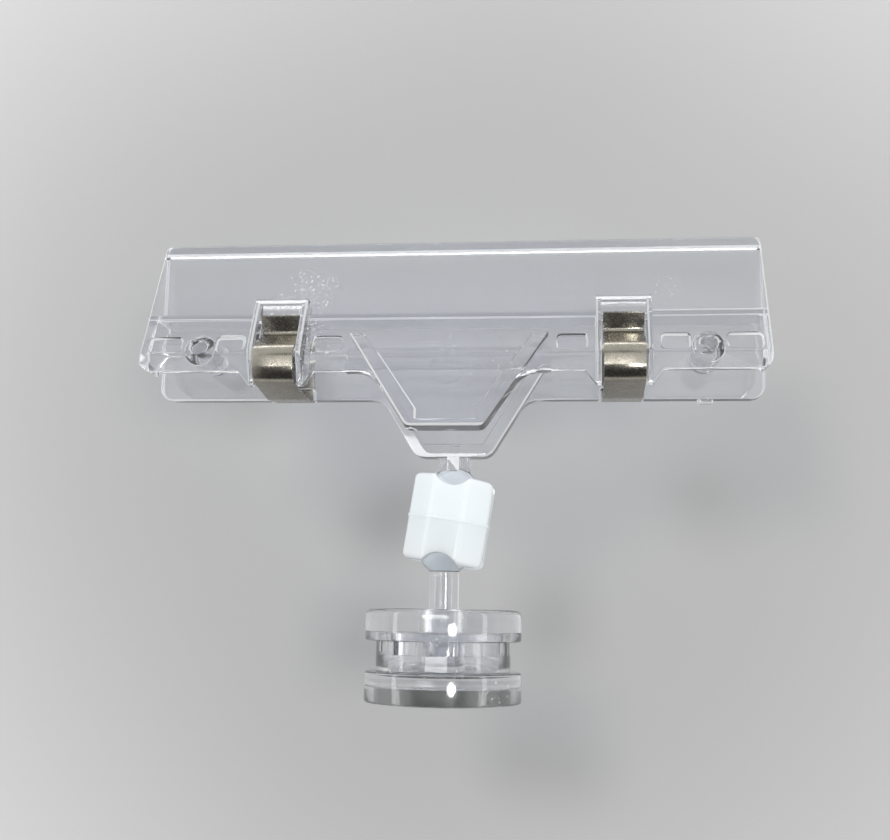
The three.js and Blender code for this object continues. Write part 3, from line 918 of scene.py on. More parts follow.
def dress(
    thing: bpy.types.Object,
    material: bpy.types.Material,
    nodes: Sequence[str],
    body: Body | None,
) -> bpy.types.Object:
    """Gives a piece its material, and ties it to the nodes and body it stands for.

    Args:
        thing: The finished piece.
        material: Its material.
        nodes: The CAD nodes that it replaces.
        body: The body it rides on, or None where it is blended later.

    Returns:
        The same piece.
    """
    thing.data.materials.clear()
    thing.data.materials.append(material)
    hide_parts(*nodes)
    if body is not None:
        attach(thing, body.value)
    LOG.info("%s: %d faces", thing.name, len(thing.data.polygons))
    return thing


# Sub-assemblies


@dataclass
class MagneticBase:
    """Cup with the magnet's pocket, cap on its spigot, and the disc magnet."""

    clear: bpy.types.Material
    nickel: bpy.types.Material
    rim_z: float = 0.15
    flange_radius: float = 12.5
    flange_top_z: float = 5.0
    neck_radius: float = 10.75
    neck_top_z: float = 7.65
    spigot_radius: float = 10.6
    spigot_top_z: float = 11.1
    spigot_wall: float = 1.4
    pocket_radius: float = 11.15
    pocket_roof_z: float = 2.75
    floor_z: float = 4.15
    boss_radius: float = 3.4
    boss_top_z: float = 9.75
    pin_bore: float = 1.83
    pin_floor_z: float = 5.25
    cap_bottom_z: float = 9.7
    cap_top_z: float = 14.7
    cap_roof_z: float = 11.25
    cap_recess: float = 10.9
    cap_hole: float = 2.48
    magnet_radius: float = 11.0
    magnet_height: float = 2.6
    lip_edge: float = 0.12
    rim_edge: float = 0.4
    neck_edge: float = 0.25
    step_edge: float = 0.06
    wall_edge: float = 0.2
    floor_edge: float = 0.5
    cap_lip_edge: float = 0.15
    cap_roof_edge: float = 0.1
    cap_top_edge: float = 0.9
    magnet_edge: float = 0.25
    rib_count: int = 12
    rib_width: float = 0.7
    rib_proud: float = 0.12
    rib_slack: float = 0.02
    slot_width: float = 1.1
    seam_azimuth: float = -127.0
    seam_deep: float = 0.05
    seam_wall: float = 0.3
    seam_steps: float = 0.6
    steps: int = 240

    def build(self) -> list[bpy.types.Object]:
        """Builds and dresses the three pieces.

        Returns:
            The cup, the cap and the magnet.
        """
        return [
            dress(self.cup(), self.clear, ["base_cup"], Body.BASE),
            dress(self.cap(), self.clear, ["base_cap"], Body.BASE),
            dress(self.magnet(), self.nickel, ["magnet"], Body.BASE),
        ]

    def cup(self) -> bpy.types.Object:
        """Turns the cup, raises its ribs, and cuts its mould seam and the spigot's slot.

        Returns:
            The cup.
        """
        inner = self.spigot_radius - self.spigot_wall
        bm = turn(
            [
                (0, self.pocket_roof_z, 0),
                (self.pocket_radius, self.pocket_roof_z, self.lip_edge),
                (self.pocket_radius, self.rim_z, self.lip_edge),
                (self.flange_radius, self.rim_z, self.rim_edge),
                (self.flange_radius, self.flange_top_z, self.rim_edge),
                (self.neck_radius, self.flange_top_z, self.neck_edge),
                (self.neck_radius, self.neck_top_z, self.step_edge),
                (self.spigot_radius, self.neck_top_z, 0),
                (self.spigot_radius, self.spigot_top_z, self.wall_edge),
                (inner, self.spigot_top_z, self.wall_edge),
                (inner, self.floor_z, self.floor_edge),
                (self.boss_radius, self.floor_z, self.floor_edge),
                (self.boss_radius, self.boss_top_z, self.wall_edge),
                (self.pin_bore, self.boss_top_z, self.wall_edge),
                (self.pin_bore, self.pin_floor_z, self.wall_edge),
                (0, self.pin_floor_z, 0),
            ],
            self.steps,
        )
        self.raise_ribs(bm)
        self.cut_seam(bm, self.rim_z, self.flange_top_z)
        cup = object_from(bm, "cup")
        tall = 2 * (self.spigot_top_z - self.neck_top_z)
        cutter = block(
            (2 * self.spigot_wall, self.slot_width, tall),
            (self.spigot_radius - self.spigot_wall / 2, 0, self.spigot_top_z),
        )
        rotate(cutter, math.radians(self.seam_azimuth), "Z")
        combine(cup, [object_from(cutter, "slot_cutter")], "DIFFERENCE")
        smooth(cup)
        return cup

    def raise_ribs(self, bm: bmesh.types.BMesh) -> None:
        """Raises the crush ribs that centre the spigot in the cap.

        Args:
            bm: The cup's turned mesh.
        """
        half = self.rib_width / 2 / self.spigot_radius
        for vert in bm.verts:
            radius = math.hypot(vert.co.x, vert.co.y)
            on_wall = near(radius, self.spigot_radius, self.rib_slack)
            if on_wall and vert.co.z > self.neck_top_z:
                turns = math.atan2(vert.co.y, vert.co.x) * self.rib_count / (2 * math.pi)
                away = abs((turns % 1) - 0.5) * 2 * math.pi / self.rib_count
                lift = self.rib_proud * max(0.0, 1 - (away / half) ** 2)
                self.push_out(vert, lift)

    def cut_seam(self, bm: bmesh.types.BMesh, low: float, high: float) -> None:
        """Cuts the fine line that the mould's halves leave on an outer wall.

        Args:
            bm: The turned mesh.
            low: Where the wall starts.
            high: Where the wall ends.
        """
        line = math.radians(self.seam_azimuth)
        reach = self.seam_steps * 2 * math.pi / self.steps
        for vert in bm.verts:
            radius = math.hypot(vert.co.x, vert.co.y)
            around = math.atan2(vert.co.y, vert.co.x) - line
            away = abs((around + math.pi) % (2 * math.pi) - math.pi)
            if radius > self.flange_radius - self.seam_wall and away < reach:
                if low <= vert.co.z <= high:
                    self.push_out(vert, -self.seam_deep)

    @staticmethod
    def push_out(vert: bmesh.types.BMVert, lift: float) -> None:
        """Moves a vertex away from the base's axis.

        Args:
            vert: The vertex.
            lift: How far it moves, or less than 0 where it moves in.
        """
        radius = math.hypot(vert.co.x, vert.co.y)
        vert.co.x *= (radius + lift) / radius
        vert.co.y *= (radius + lift) / radius

    def cap(self) -> bpy.types.Object:
        """Turns the cap.

        Returns:
            The cap.
        """
        bm = turn(
            [
                (self.cap_hole, self.cap_roof_z, self.cap_roof_edge),
                (self.cap_recess, self.cap_roof_z, self.wall_edge),
                (self.cap_recess, self.cap_bottom_z, self.cap_lip_edge),
                (self.flange_radius, self.cap_bottom_z, self.rim_edge),
                (self.flange_radius, self.cap_top_z, self.cap_top_edge),
                (self.cap_hole, self.cap_top_z, self.neck_edge),
            ],
            self.steps,
            closed=True,
        )
        self.cut_seam(bm, self.cap_bottom_z, self.cap_top_z)
        cap = object_from(bm, "cap")
        smooth(cap)
        return cap

    def magnet(self) -> bpy.types.Object:
        """Turns the plated disc.

        Returns:
            The magnet.
        """
        bm = turn(
            [
                (0, 0, 0),
                (self.magnet_radius, 0, self.magnet_edge),
                (self.magnet_radius, self.magnet_height, self.magnet_edge),
                (0, self.magnet_height, 0),
            ],
            self.steps,
        )
        disc = object_from(bm, "disc_magnet")
        smooth(disc)
        return disc


@dataclass
class BallStud:
    """Stem and lower ball on the collar and pin that turn in the base."""

    clear: bpy.types.Material
    pin_radius: float = 1.75
    pin_bottom_z: float = 5.4
    collar_radius: float = 3.1
    collar_bottom_z: float = 9.9
    collar_top_z: float = 11.1
    stem_radius: float = 2.4
    ball_radius: float = 4.2
    ball_z: float = LOWER_BALL_Z
    ball_steps: int = 36
    steps: int = 96

    def build(self) -> bpy.types.Object:
        """Turns the stud in one piece with its ball, and dresses it.

        Returns:
            The stud.
        """
        bm = bmesh.new()
        start = math.asin(self.stem_radius / self.ball_radius)
        foot_z = self.ball_z - self.ball_radius * math.cos(start)
        section = [
            (0, self.pin_bottom_z),
            (self.pin_radius, self.pin_bottom_z),
            (self.pin_radius, self.collar_bottom_z),
            (self.collar_radius, self.collar_bottom_z),
            (self.collar_radius, self.collar_top_z),
            (self.stem_radius, self.collar_top_z),
            (self.stem_radius, foot_z),
        ]
        corners = [bm.verts.new((radius, 0, height)) for radius, height in section]
        for pair in zip(corners, corners[1:]):
            bm.edges.new(pair)
        # The ball's outline is one corner swept round the ball's centre to the top.
        bmesh.ops.spin(
            bm,
            geom=[corners[-1]],
            cent=(0, 0, self.ball_z),
            axis=(0, 1, 0),
            dvec=(0, 0, 0),
            angle=-(math.pi - start),
            steps=self.ball_steps,
            use_merge=False,
            use_normal_flip=False,
            use_duplicate=False,
        )
        spin_whole(bm, self.steps)
        stud = object_from(bm, "stud")
        smooth(stud)
        return dress(stud, self.clear, ["ball_stud"], Body.STUD)


@dataclass
class BallConnector:
    """White octagonal bar with a ball socket and four scallops at each end."""

    white: bpy.types.Material
    sides: int = 8
    across_flats: float = 12.8
    length: float = 14.0
    corner_radius: float = 1.4
    corner_steps: int = 6
    end_radius: float = 0.9
    end_steps: int = 5
    ball_spacing: float = 9.3
    socket_radius: float = 4.3
    socket_steps: int = 72
    socket_rings: int = 48
    lean_deg: float = 8.5
    notch_width: float = 5.8
    notch_depth: float = 1.65
    notch_steps: int = 96
    ridge_width: float = 0.6
    ridge_height: float = 0.16
    ridge_radius: float = 0.2
    cut_edge: float = 0.4
    cut_edge_deg: float = 40.0
    sharp_deg: float = 30.0

    def build(self) -> bpy.types.Object:
        """Builds, cuts, places and dresses the connector.

        Returns:
            The connector.
        """
        solid = self.octagon(self.across_flats, self.length, self.end_radius)
        bar = object_from(solid, "connector")
        broad = self.across_flats + 2 * self.ridge_height
        ridge = self.octagon(broad, self.ridge_width, self.ridge_radius)
        combine(bar, [object_from(ridge, "ridge")], "UNION")
        combine(bar, self.cutters(), "DIFFERENCE")
        soften(bar, self.cut_edge, self.cut_edge_deg)
        lean = Matrix.Rotation(math.radians(self.lean_deg), 4, "Y")
        middle = Vector((0, 0, LOWER_BALL_Z)) + lean @ Vector((0, 0, self.ball_spacing / 2))
        bar.data.transform(Matrix.Translation(middle * MM) @ lean)
        smooth(bar, self.sharp_deg)
        return dress(bar, self.white, ["ball_connector"], Body.CONNECTOR)

    def octagon(self, across: float, length: float, end_radius: float) -> bmesh.types.BMesh:
        """Makes an eight-sided bar about the origin, with rounded sides and ends.

        Args:
            across: Distance between opposite flats.
            length: Length along Z.
            end_radius: Rounding of both ends.

        Returns:
            The bar's mesh.
        """
        half = math.pi / self.sides
        bm = prism(self.sides, across / 2 / math.cos(half), length)
        first = max(bm.verts, key=lambda v: v.co.x)
        rotate(bm, half - math.atan2(first.co.y, first.co.x), "Z")
        upright = [e for e in bm.edges if not near(e.verts[0].co.z, e.verts[1].co.z)]
        # A radius between two flats reaches only this far along each of them.
        bevel(bm, upright, self.corner_radius * math.tan(half), self.corner_steps)
        rims = [
            e
            for e in bm.edges
            if near(e.verts[0].co.z, e.verts[1].co.z)
            and near(abs(e.verts[0].co.z), length / 2)
        ]
        bevel(bm, rims, end_radius, self.end_steps)
        return bm

    def cutters(self) -> list[bpy.types.Object]:
        """Makes the balls and rods that cut the sockets and scallops.

        Returns:
            The cutting objects.
        """
        radius = (self.notch_width**2 / 4 + self.notch_depth**2) / (2 * self.notch_depth)
        reach = self.length / 2 + radius - self.notch_depth
        made = []
        for side in (-1, 1):
            ball = bmesh.new()
            bmesh.ops.create_uvsphere(
                ball,
                u_segments=self.socket_steps,
                v_segments=self.socket_rings,
                radius=self.socket_radius,
            )
            bmesh.ops.translate(
                ball, verts=ball.verts, vec=(0, 0, side * self.ball_spacing / 2)
            )
            made.append(object_from(ball, "socket_cutter"))
            for axis in ("X", "Y"):
                rod = prism(self.notch_steps, radius, 2 * self.across_flats)
                rotate(rod, math.pi / 2, axis)
                bmesh.ops.translate(rod, verts=rod.verts, vec=(0, 0, side * reach))
                made.append(object_from(rod, "scallop_cutter"))
        return made


@dataclass
class JawMoulding:
    """One clear jaw: the CAD node's solid with its edges rounded."""

    clear: bpy.types.Material
    node: bpy.types.Object
    name: str
    node_name: str
    body: Body
    edges_mm: tuple[float, ...] = (0.3, 0.12)
    sharp_deg: float = 34.0
    weld_mm: float = 0.002
    sliver_mm: float = 0.004
    flat_deg: float = 0.4
    fold_limit_mm2: float = 0.02
    shortest_chain: int = 8
    square_sine: float = 0.5
    room_between: float = 1.2
    least_sine: float = 0.45
    room_beside: float = 1.3

    def build(self) -> bpy.types.Object:
        """Merges a copy of the node, adds its fine details, rounds its edges and dresses it.

        Returns:
            The jaw.
        """
        jaw = self.detail(object_from(merged(self.node.data, self.weld_mm), self.name))
        bm = merged(jaw.data, self.sliver_mm)
        bpy.data.objects.remove(jaw)
        bmesh.ops.dissolve_degenerate(bm, dist=self.sliver_mm, edges=bm.edges)
        bmesh.ops.dissolve_limit(
            bm,
            angle_limit=math.radians(self.flat_deg),
            use_dissolve_boundaries=False,
            verts=bm.verts,
            edges=bm.edges,
        )
        for width in self.edges_mm:
            bm = self.round_edges(bm, width)
        jaw = object_from(bm, self.name)
        smooth(jaw, self.sharp_deg)
        even = jaw.modifiers.new("even_normals", "WEIGHTED_NORMAL")
        even.mode = "FACE_AREA"
        even.weight = 100
        even.keep_sharp = True
        settle(jaw)
        return dress(jaw, self.clear, [self.node_name], self.body)

    def detail(self, jaw: bpy.types.Object) -> bpy.types.Object:
        """Adds the details that this jaw has beyond the solid: none for a plain jaw."""
        return jaw

    def round_edges(self, bm: bmesh.types.BMesh, width: float) -> bmesh.types.BMesh:
        """Rounds each sharp edge that has room for it, in ever smaller groups.

        Args:
            bm: The jaw's mesh, in millimetres.
            width: Reach of the rounding, in millimetres.

        Returns:
            The rounded mesh, which replaces the one passed in.
        """
        layers = bm.edges.layers.int
        if CHAIN in layers:
            layers.remove(layers[CHAIN])
        mark = layers.new(CHAIN)
        # This face layer marks where the clear finish paints its edge highlight.
        if HIGHLIT_EDGE not in bm.faces.layers.float:
            bm.faces.layers.float.new(HIGHLIT_EDGE)
        sharp = math.radians(self.sharp_deg)
        chosen = {e for e in bm.edges if e.is_manifold and e.calc_face_angle(0.0) > sharp}
        crowded = {
            loop.vert
            for face in bm.faces
            for loop in face.loops
            if not self.has_room(loop, chosen, width)
        }
        # Edges are told by their numbers, so that each run takes them in the same order.
        bm.edges.index_update()
        bm.edges.ensure_lookup_table()
        clear = {e.index for e in chosen if not crowded.intersection(e.verts)}
        order: list[int] = []
        while clear:
            reach = [min(clear)]
            clear.discard(reach[0])
            while reach:
                edge = bm.edges[reach.pop()]
                edge[mark] = len(order) + 1
                order.append(edge[mark])
                joined = {e.index for v in edge.verts for e in v.link_edges} & clear
                clear -= joined
                reach += sorted(joined)
        done = 0
        chains = [order]
        while chains:
            chain = chains.pop()
            trial = self.rounded(bm, set(chain), width)
            if trial is not None:
                bm.free()
                bm = trial
                done += len(chain)
            elif len(chain) > self.shortest_chain:
                half = len(chain) // 2
                chains += [chain[:half], chain[half:]]
        LOG.info("%s: %d of %d sharp edges rounded", self.name, done, len(chosen))
        return bm

    def rounded(
        self, bm: bmesh.types.BMesh, chain: set[int], width: float
    ) -> bmesh.types.BMesh | None:
        """Rounds one chain of edges on a copy of the mesh.

        Args:
            bm: The mesh so far.
            chain: The numbers of the chain's edges.
            width: Reach of the rounding, in millimetres.

        Returns:
            The rounded copy, or None where the rounding would fold a face over itself.
        """
        trial = bm.copy()
        mark = trial.edges.layers.int[CHAIN]
        before = self.folded_area(trial)
        edges = [e for e in trial.edges if e[mark] in chain]
        made = bevel(trial, edges, width, 2, clamp=False)
        if self.folded_area(trial) > before + self.fold_limit_mm2:
            trial.free()
            return None
        # Faces of the rounding take the painted edge highlight.
        edge_highlight_mask = trial.faces.layers.float[HIGHLIT_EDGE]
        for face in made:
            face[edge_highlight_mask] = 1.0
        return trial

    @staticmethod
    def folded_area(bm: bmesh.types.BMesh) -> float:
        """Measures how much area of a mesh's faces folds over itself.

        Args:
            bm: The mesh.

        Returns:
            The area, in the mesh's unit squared.
        """
        flat: dict[bmesh.types.BMFace, float] = {}
        for first, second, third in bm.calc_loop_triangles():
            corner = first.vert.co
            area = (second.vert.co - corner).cross(third.vert.co - corner).length / 2
            flat[first.face] = flat.get(first.face, 0.0) + area
        return sum(abs(area - face.calc_area()) for face, area in flat.items())

    def has_room(
        self, loop: bmesh.types.BMLoop, chosen: set[bmesh.types.BMEdge], width: float
    ) -> bool:
        """Tells whether a corner of a face leaves room for the rounding beside it.

        Args:
            loop: The corner.
            chosen: The edges to round.
            width: Reach of the rounding, in millimetres.

        Returns:
            True where the rounding fits.
        """
        ahead, behind = loop.edge, loop.link_loop_prev.edge
        sine = max(math.sin(loop.calc_angle()), 1e-4)
        if ahead in chosen and behind in chosen:
            shorter = min(ahead.calc_length(), behind.calc_length())
            return sine < self.square_sine or shorter > self.room_between * width
        if ahead in chosen or behind in chosen:
            free = behind if ahead in chosen else ahead
            fits = free.calc_length() > self.room_beside * width / sine
            return sine > self.least_sine and fits
        return True


@dataclass
class FrontJaw(JawMoulding):
    """The front jaw, with round tips to rock on and a hood over each spring slot."""

    fulcrum_x: float = 40.0
    fulcrum_y: float = -2.2
    fulcrum_z: float = 6.1
    fulcrum_radius: float = 2.4
    boss_length: float = 5.0
    core_radius: float = 1.3
    core_rise: float = 0.5
    core_floor: float = 3.0
    core_length: float = 12.0
    tip_steps: int = 48
    slot_width: float = 7.0
    fin_thickness: float = 0.8
    fins_covered: float = 1.9
    hood_y: float = -9.5
    hood_depth: float = 2.6
    hood_z: float = 14.12
    hood_height: float = 0.76
    cover: float = 0.012

    def detail(self, jaw: bpy.types.Object) -> bpy.types.Object:
        """Adds smooth rocking tips, their cores and the hoods of the slots.

        Args:
            jaw: The merged solid.

        Returns:
            The same jaw.
        """
        tips: list[bpy.types.Object] = []
        cores: list[bpy.types.Object] = []
        for side in Side:
            x = CLIP_X + side.value * self.fulcrum_x
            y = CLIP_Y + self.fulcrum_y
            z = CLIP_Z + self.fulcrum_z
            tip = self.fulcrum_radius + self.cover
            tips.append(self.round_pin(tip, self.boss_length, (x, y, z)))
            core = self.core_radius + self.cover
            end = (x, y - self.core_floor, z + self.core_rise)
            cores.append(self.round_pin(core, self.core_length, end))
        hoods = [self.hood(CLIP_X + side.value * SPRING_X) for side in Side]
        combine(jaw, [*tips, *hoods], "UNION")
        return combine(jaw, cores, "DIFFERENCE")

    def round_pin(self, radius: float, length: float, end: Corner) -> bpy.types.Object:
        """Makes a pin along Y with a round end, to join to the jaw or to cut from it.

        Args:
            radius: The pin's radius.
            length: Its straight length.
            end: Centre of its round end, which points to +Y.

        Returns:
            The pin.
        """
        quarter = self.tip_steps // 4
        arc = [math.pi / 2 * step / quarter for step in range(quarter)]
        section = [(0.0, -length, 0.0), (radius, -length, 0.0)]
        section += [(radius * math.cos(a), radius * math.sin(a), 0.0) for a in arc]
        section.append((0.0, radius, 0.0))
        bm = turn(section, self.tip_steps)
        rotate(bm, -math.pi / 2, "X")
        bmesh.ops.translate(bm, verts=bm.verts, vec=end)
        return object_from(bm, "pin_tool")

    def hood(self, x: float) -> bpy.types.Object:
        """Makes the bar that closes the top of a spring's slot.

        Args:
            x: The slot's middle along X.

        Returns:
            The bar.
        """
        width = self.slot_width + self.fins_covered * self.fin_thickness
        y = CLIP_Y + self.hood_y + self.hood_depth / 2
        z = CLIP_Z + self.hood_z + self.hood_height / 2
        bar = block((width, self.hood_depth, self.hood_height), (x, y, z))
        return object_from(bar, "hood_tool")


@dataclass
class StripSpring:
    """Bent strip spring that hooks behind the plate and presses on the front jaw."""

    metal: bpy.types.Material
    side: Side
    width: float = 6.4
    thickness: float = 0.45
    crease_y: float = -8.273
    crease_z: float = 9.2
    crease_radius: float = 0.9
    lip_rise: float = 2.8
    lip_throw: float = 1.7
    bulge_depth: float = 14.4
    bulge_z: float = 3.9
    bulge_radius: float = 2.3
    shoulder_radii: float = 0.8
    chin_radii: float = 1.3
    underside_z: float = 0.325
    droop: float = 0.7
    droop_y: float = -4.0
    back_y: float = 2.375
    back_bend: float = 1.3
    back_contact_z: float = 7.5
    back_rise: float = 2.2
    bend_steps: int = 10
    cut_edge: float = 0.07
    cut_edge_deg: float = 60.0
    sharp_deg: float = 40.0
    blend_rise: float = 2.0

    def build(self) -> bpy.types.Object:
        """Bends the strip, gives it its thickness and blends it between the jaws.

        Returns:
            The spring.
        """
        bm = bmesh.new()
        left_edge = CLIP_X + self.side.value * SPRING_X - self.width / 2
        folds = self.folds()
        verts = [bm.verts.new((left_edge, y + CLIP_Y, z + CLIP_Z)) for y, z, _ in folds]
        edges = [bm.edges.new(pair) for pair in zip(verts, verts[1:])]
        swept = bmesh.ops.extrude_edge_only(bm, edges=edges)
        moved = [v for v in swept["geom"] if isinstance(v, bmesh.types.BMVert)]
        bmesh.ops.translate(bm, verts=moved, vec=(self.width, 0, 0))
        for place, (y, z, radius) in enumerate(folds[1:-1], start=1):
            reach = self.fold_reach(folds[place - 1], folds[place], folds[place + 1])
            line = [
                e
                for e in bm.edges
                if all(near(v.co.y, y + CLIP_Y) and near(v.co.z, z + CLIP_Z) for v in e.verts)
            ]
            bevel(bm, line, radius * reach, self.bend_steps)
        bmesh.ops.recalc_face_normals(bm, faces=bm.faces)
        side = self.side.name.lower()
        strip = object_from(bm, f"strip_spring_{side}")
        wall = strip.modifiers.new("thickness", "SOLIDIFY")
        wall.thickness = self.thickness * MM
        wall.offset = 0.0
        wall.use_even_offset = True
        settle(strip)
        soften(strip, self.cut_edge, self.cut_edge_deg)
        smooth(strip, self.sharp_deg)
        dress(strip, self.metal, [f"spring_{side}"], None)
        middle = CLIP_Z + self.blend_rise
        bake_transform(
            strip,
            Body.BACK.value,
            Body.FRONT.value,
            start=(0, -2.0 * MM, middle * MM),
            end=(0, -8.6 * MM, middle * MM),
        )
        return strip

    def folds(self) -> list[Corner]:
        """Lists the strip's fold lines in the clip's frame.

        Returns:
            Y, Z and bend radius of each fold, from the lip to the back leg.
        """
        front = -self.bulge_depth + self.thickness / 2
        shoulder = self.bulge_z + self.shoulder_radii * self.bulge_radius
        chin = self.bulge_z - self.chin_radii * self.bulge_radius
        return [
            (self.crease_y - self.lip_throw, self.crease_z + self.lip_rise, 0.0),
            (self.crease_y, self.crease_z, self.crease_radius),
            (front, shoulder, self.bulge_radius),
            (front, chin, self.bulge_radius),
            (self.droop_y, self.underside_z - self.droop, self.bulge_radius),
            (self.back_y + self.back_bend, self.underside_z, self.back_bend),
            (self.back_y, self.back_contact_z, self.crease_radius),
            (self.back_y + self.back_bend, self.back_contact_z + self.back_rise, 0.0),
        ]

    @staticmethod
    def fold_reach(before: Corner, here: Corner, after: Corner) -> float:
        """Gives how far a unit bend radius reaches along the strip from its fold line.

        Args:
            before: The fold before.
            here: The fold.
            after: The fold after.

        Returns:
            The reach for a radius of 1.
        """
        back = Vector((before[0] - here[0], before[1] - here[1]))
        ahead = Vector((after[0] - here[0], after[1] - here[1]))
        return 1 / math.tan(back.angle(ahead) / 2)


# Camera, board and light


@dataclass(frozen=True)
class Lamp:
    """A soft lamp: place and size in millimetres, power in watts, and rays that don't see it."""

    name: str
    place: Corner
    size: tuple[float, float]
    power: float
    hidden_from: tuple[Rays, ...] = ()


@dataclass
class Studio:
    """The photograph's camera, the pale board behind the object, and soft lamps."""

    board_finish: PaleBoard
    image_width: float = 890.0
    focal_pixels: float = 1200.0
    sensor_width: float = 36.0
    camera_at: Corner = (20.80, -194.01, 13.11)
    right: Corner = (0.9943, 0.1055, 0.0157)
    down: Corner = (-0.0019, 0.1648, -0.9863)
    ahead: Corner = (-0.1066, 0.9807, 0.1641)
    sight_m: tuple[float, float] = (0.01, 20.0)
    board_y: float = 60.0
    board_size: float = 1600.0
    # The left lamp would mirror as one white patch in the flat plate, so only its light counts,
    # and neither round lamp shows as a disc through the plates from behind. The front strip only
    # gives the springs and the magnet their bright bands.
    lamps: tuple[Lamp, ...] = (
        Lamp("right", (216, -640, -20), (140, 140), 1.6, (Rays.TRANSMISSION,)),
        Lamp("left", (-160, -640, 200), (140, 140), 1.15, (Rays.GLOSSY, Rays.TRANSMISSION)),
        Lamp("left_strip", (-640, -260, 80), (90, 700), 0.7),
        Lamp("right_strip", (640, -260, 80), (90, 700), 0.7),
        Lamp("top_strip", (0, 20, 640), (1000, 80), 1.2),
        Lamp(
            "front_strip", (-64, -640, 122), (420, 36), 0.45, (Rays.DIFFUSE, Rays.TRANSMISSION)
        ),
    )
    aim: Corner = (0, 0, 45)
    # Where the room's tones change, as parts of a ray's direction.
    floor_fade: tuple[float, float] = (-0.35, 0.5)
    front_fade: tuple[float, float] = (-0.7, -0.97)
    side_fade: tuple[float, float] = (0.45, 0.8)
    panel_foot: tuple[float, float] = (0.1, 0.17)
    panel_head: tuple[float, float] = (0.36, 0.27)
    room_light: float = 1.5
    matt_light: float = 0.65
    clear_bounces: int = 24
    all_bounces: int = 32

    def build(self) -> None:
        """Adds the camera, board, lamps and world, and sets plain colour handling."""
        self.camera()
        self.board()
        for lamp in self.lamps:
            self.hang(lamp)
        self.world()
        scene = bpy.context.scene
        scene.view_settings.view_transform = "Standard"
        scene.cycles.transmission_bounces = self.clear_bounces
        scene.cycles.transparent_max_bounces = self.clear_bounces
        scene.cycles.max_bounces = self.all_bounces

    def camera(self) -> None:
        """Places the camera that the photograph was taken from."""
        data = bpy.data.cameras.new("photo_camera")
        data.sensor_width = self.sensor_width
        data.lens = self.sensor_width * self.focal_pixels / self.image_width
        data.clip_start, data.clip_end = self.sight_m
        camera = bpy.data.objects.new("photo_camera", data)
        axes = Matrix((self.right, -Vector(self.down), -Vector(self.ahead))).transposed()
        camera.matrix_world = Matrix.Translation(Vector(self.camera_at) * MM) @ axes.to_4x4()
        bpy.context.scene.collection.objects.link(camera)
        bpy.context.scene.camera = camera

    def board(self) -> None:
        """Stands the pale board behind the object."""
        bm = bmesh.new()
        bmesh.ops.create_grid(bm, x_segments=1, y_segments=1, size=self.board_size / 2)
        rotate(bm, math.pi / 2, "X")
        bmesh.ops.translate(bm, verts=bm.verts, vec=(0, self.board_y, 0))
        board = object_from(bm, "board")
        board.data.materials.append(self.board_finish.make())

    def hang(self, lamp: Lamp) -> None:
        """Hangs a lamp in its place, aimed at the clip.

        Args:
            lamp: The lamp, which the camera doesn't see.
        """
        data = bpy.data.lights.new(lamp.name, "AREA")
        data.shape = "ELLIPSE" if lamp.size[0] == lamp.size[1] else "RECTANGLE"
        data.size, data.size_y = (length * MM for length in lamp.size)
        data.energy = lamp.power
        hung = bpy.data.objects.new(lamp.name, data)
        aim = Vector(self.aim) - Vector(lamp.place)
        turned = aim.to_track_quat("-Z", "Y").to_matrix().to_4x4()
        hung.matrix_world = Matrix.Translation(Vector(lamp.place) * MM) @ turned
        for rays in (Rays.CAMERA, *lamp.hidden_from):
            setattr(hung, rays.value, False)
        bpy.context.scene.collection.objects.link(hung)

    def room(
        self, tree: bpy.types.NodeTree, seen_through: bpy.types.NodeSocket
    ) -> bpy.types.NodeSocket:
        """Adds the tones of the room: darker below and in front, with one white panel.

        Args:
            tree: The world's node tree.
            seen_through: 1 for rays that have passed through something clear.

        Returns:
            The room's tone in a ray's direction.
        """
        where = add_node(tree, "ShaderNodeTexCoord")
        parts = add_node(
            tree, "ShaderNodeSeparateXYZ", links={0: where.outputs["Generated"]}
        ).outputs
        sideways = add_node(
            tree,
            "ShaderNodeMath",
            settings={"operation": "ABSOLUTE"},
            links={0: parts["X"]},
        ).outputs[0]
        high = fade(tree, parts["Z"], *self.floor_fade)
        front = fade(tree, parts["Y"], *self.front_fade)
        side = fade(tree, sideways, *self.side_fade)
        room = blend(tree, high, "#3C3C3D", "#E3E4E5")
        room = blend(tree, side, room, "#FCFDFF")
        # The room before the clip is dim where it is mirrored and pale where it is seen through.
        before = blend(tree, seen_through, "#58585A", "#A9AAAB")
        room = blend(tree, front, room, before)
        panel = fade(tree, parts["Z"], *self.panel_foot)
        for limit in (fade(tree, parts["Z"], *self.panel_head), front):
            panel = add_node(
                tree,
                "ShaderNodeMath",
                settings={"operation": "MULTIPLY"},
                links={0: panel, 1: limit},
            ).outputs[0]
        return blend(tree, panel, room, "#FFFFFF")

    def world(self) -> None:
        """Surrounds the object with the room, and shows the camera a plain pale one."""
        world = bpy.data.worlds.new("pale_room")
        world.use_nodes = True
        tree = world.node_tree
        tree.nodes.clear()
        path = add_node(tree, "ShaderNodeLightPath").outputs
        # Clear and metal parts show the bright room, which gives matt parts less light.
        strength = add_node(
            tree,
            "ShaderNodeMapRange",
            values={"To Min": self.room_light, "To Max": self.matt_light},
            links={"Value": path["Is Diffuse Ray"]},
        ).outputs[0]
        lit = add_node(
            tree,
            "ShaderNodeBackground",
            links={"Color": self.room(tree, path["Is Transmission Ray"]), "Strength": strength},
        ).outputs[0]
        seen = add_node(
            tree,
            "ShaderNodeBackground",
            values={"Color": srgb("#F2F3F4"), "Strength": 1.0},
        ).outputs[0]
        mixed = add_node(
            tree, "ShaderNodeMixShader", links={0: path["Is Camera Ray"], 1: lit, 2: seen}
        )
        add_node(tree, "ShaderNodeOutputWorld", links={"Surface": mixed.outputs[0]})
        bpy.context.scene.world = world


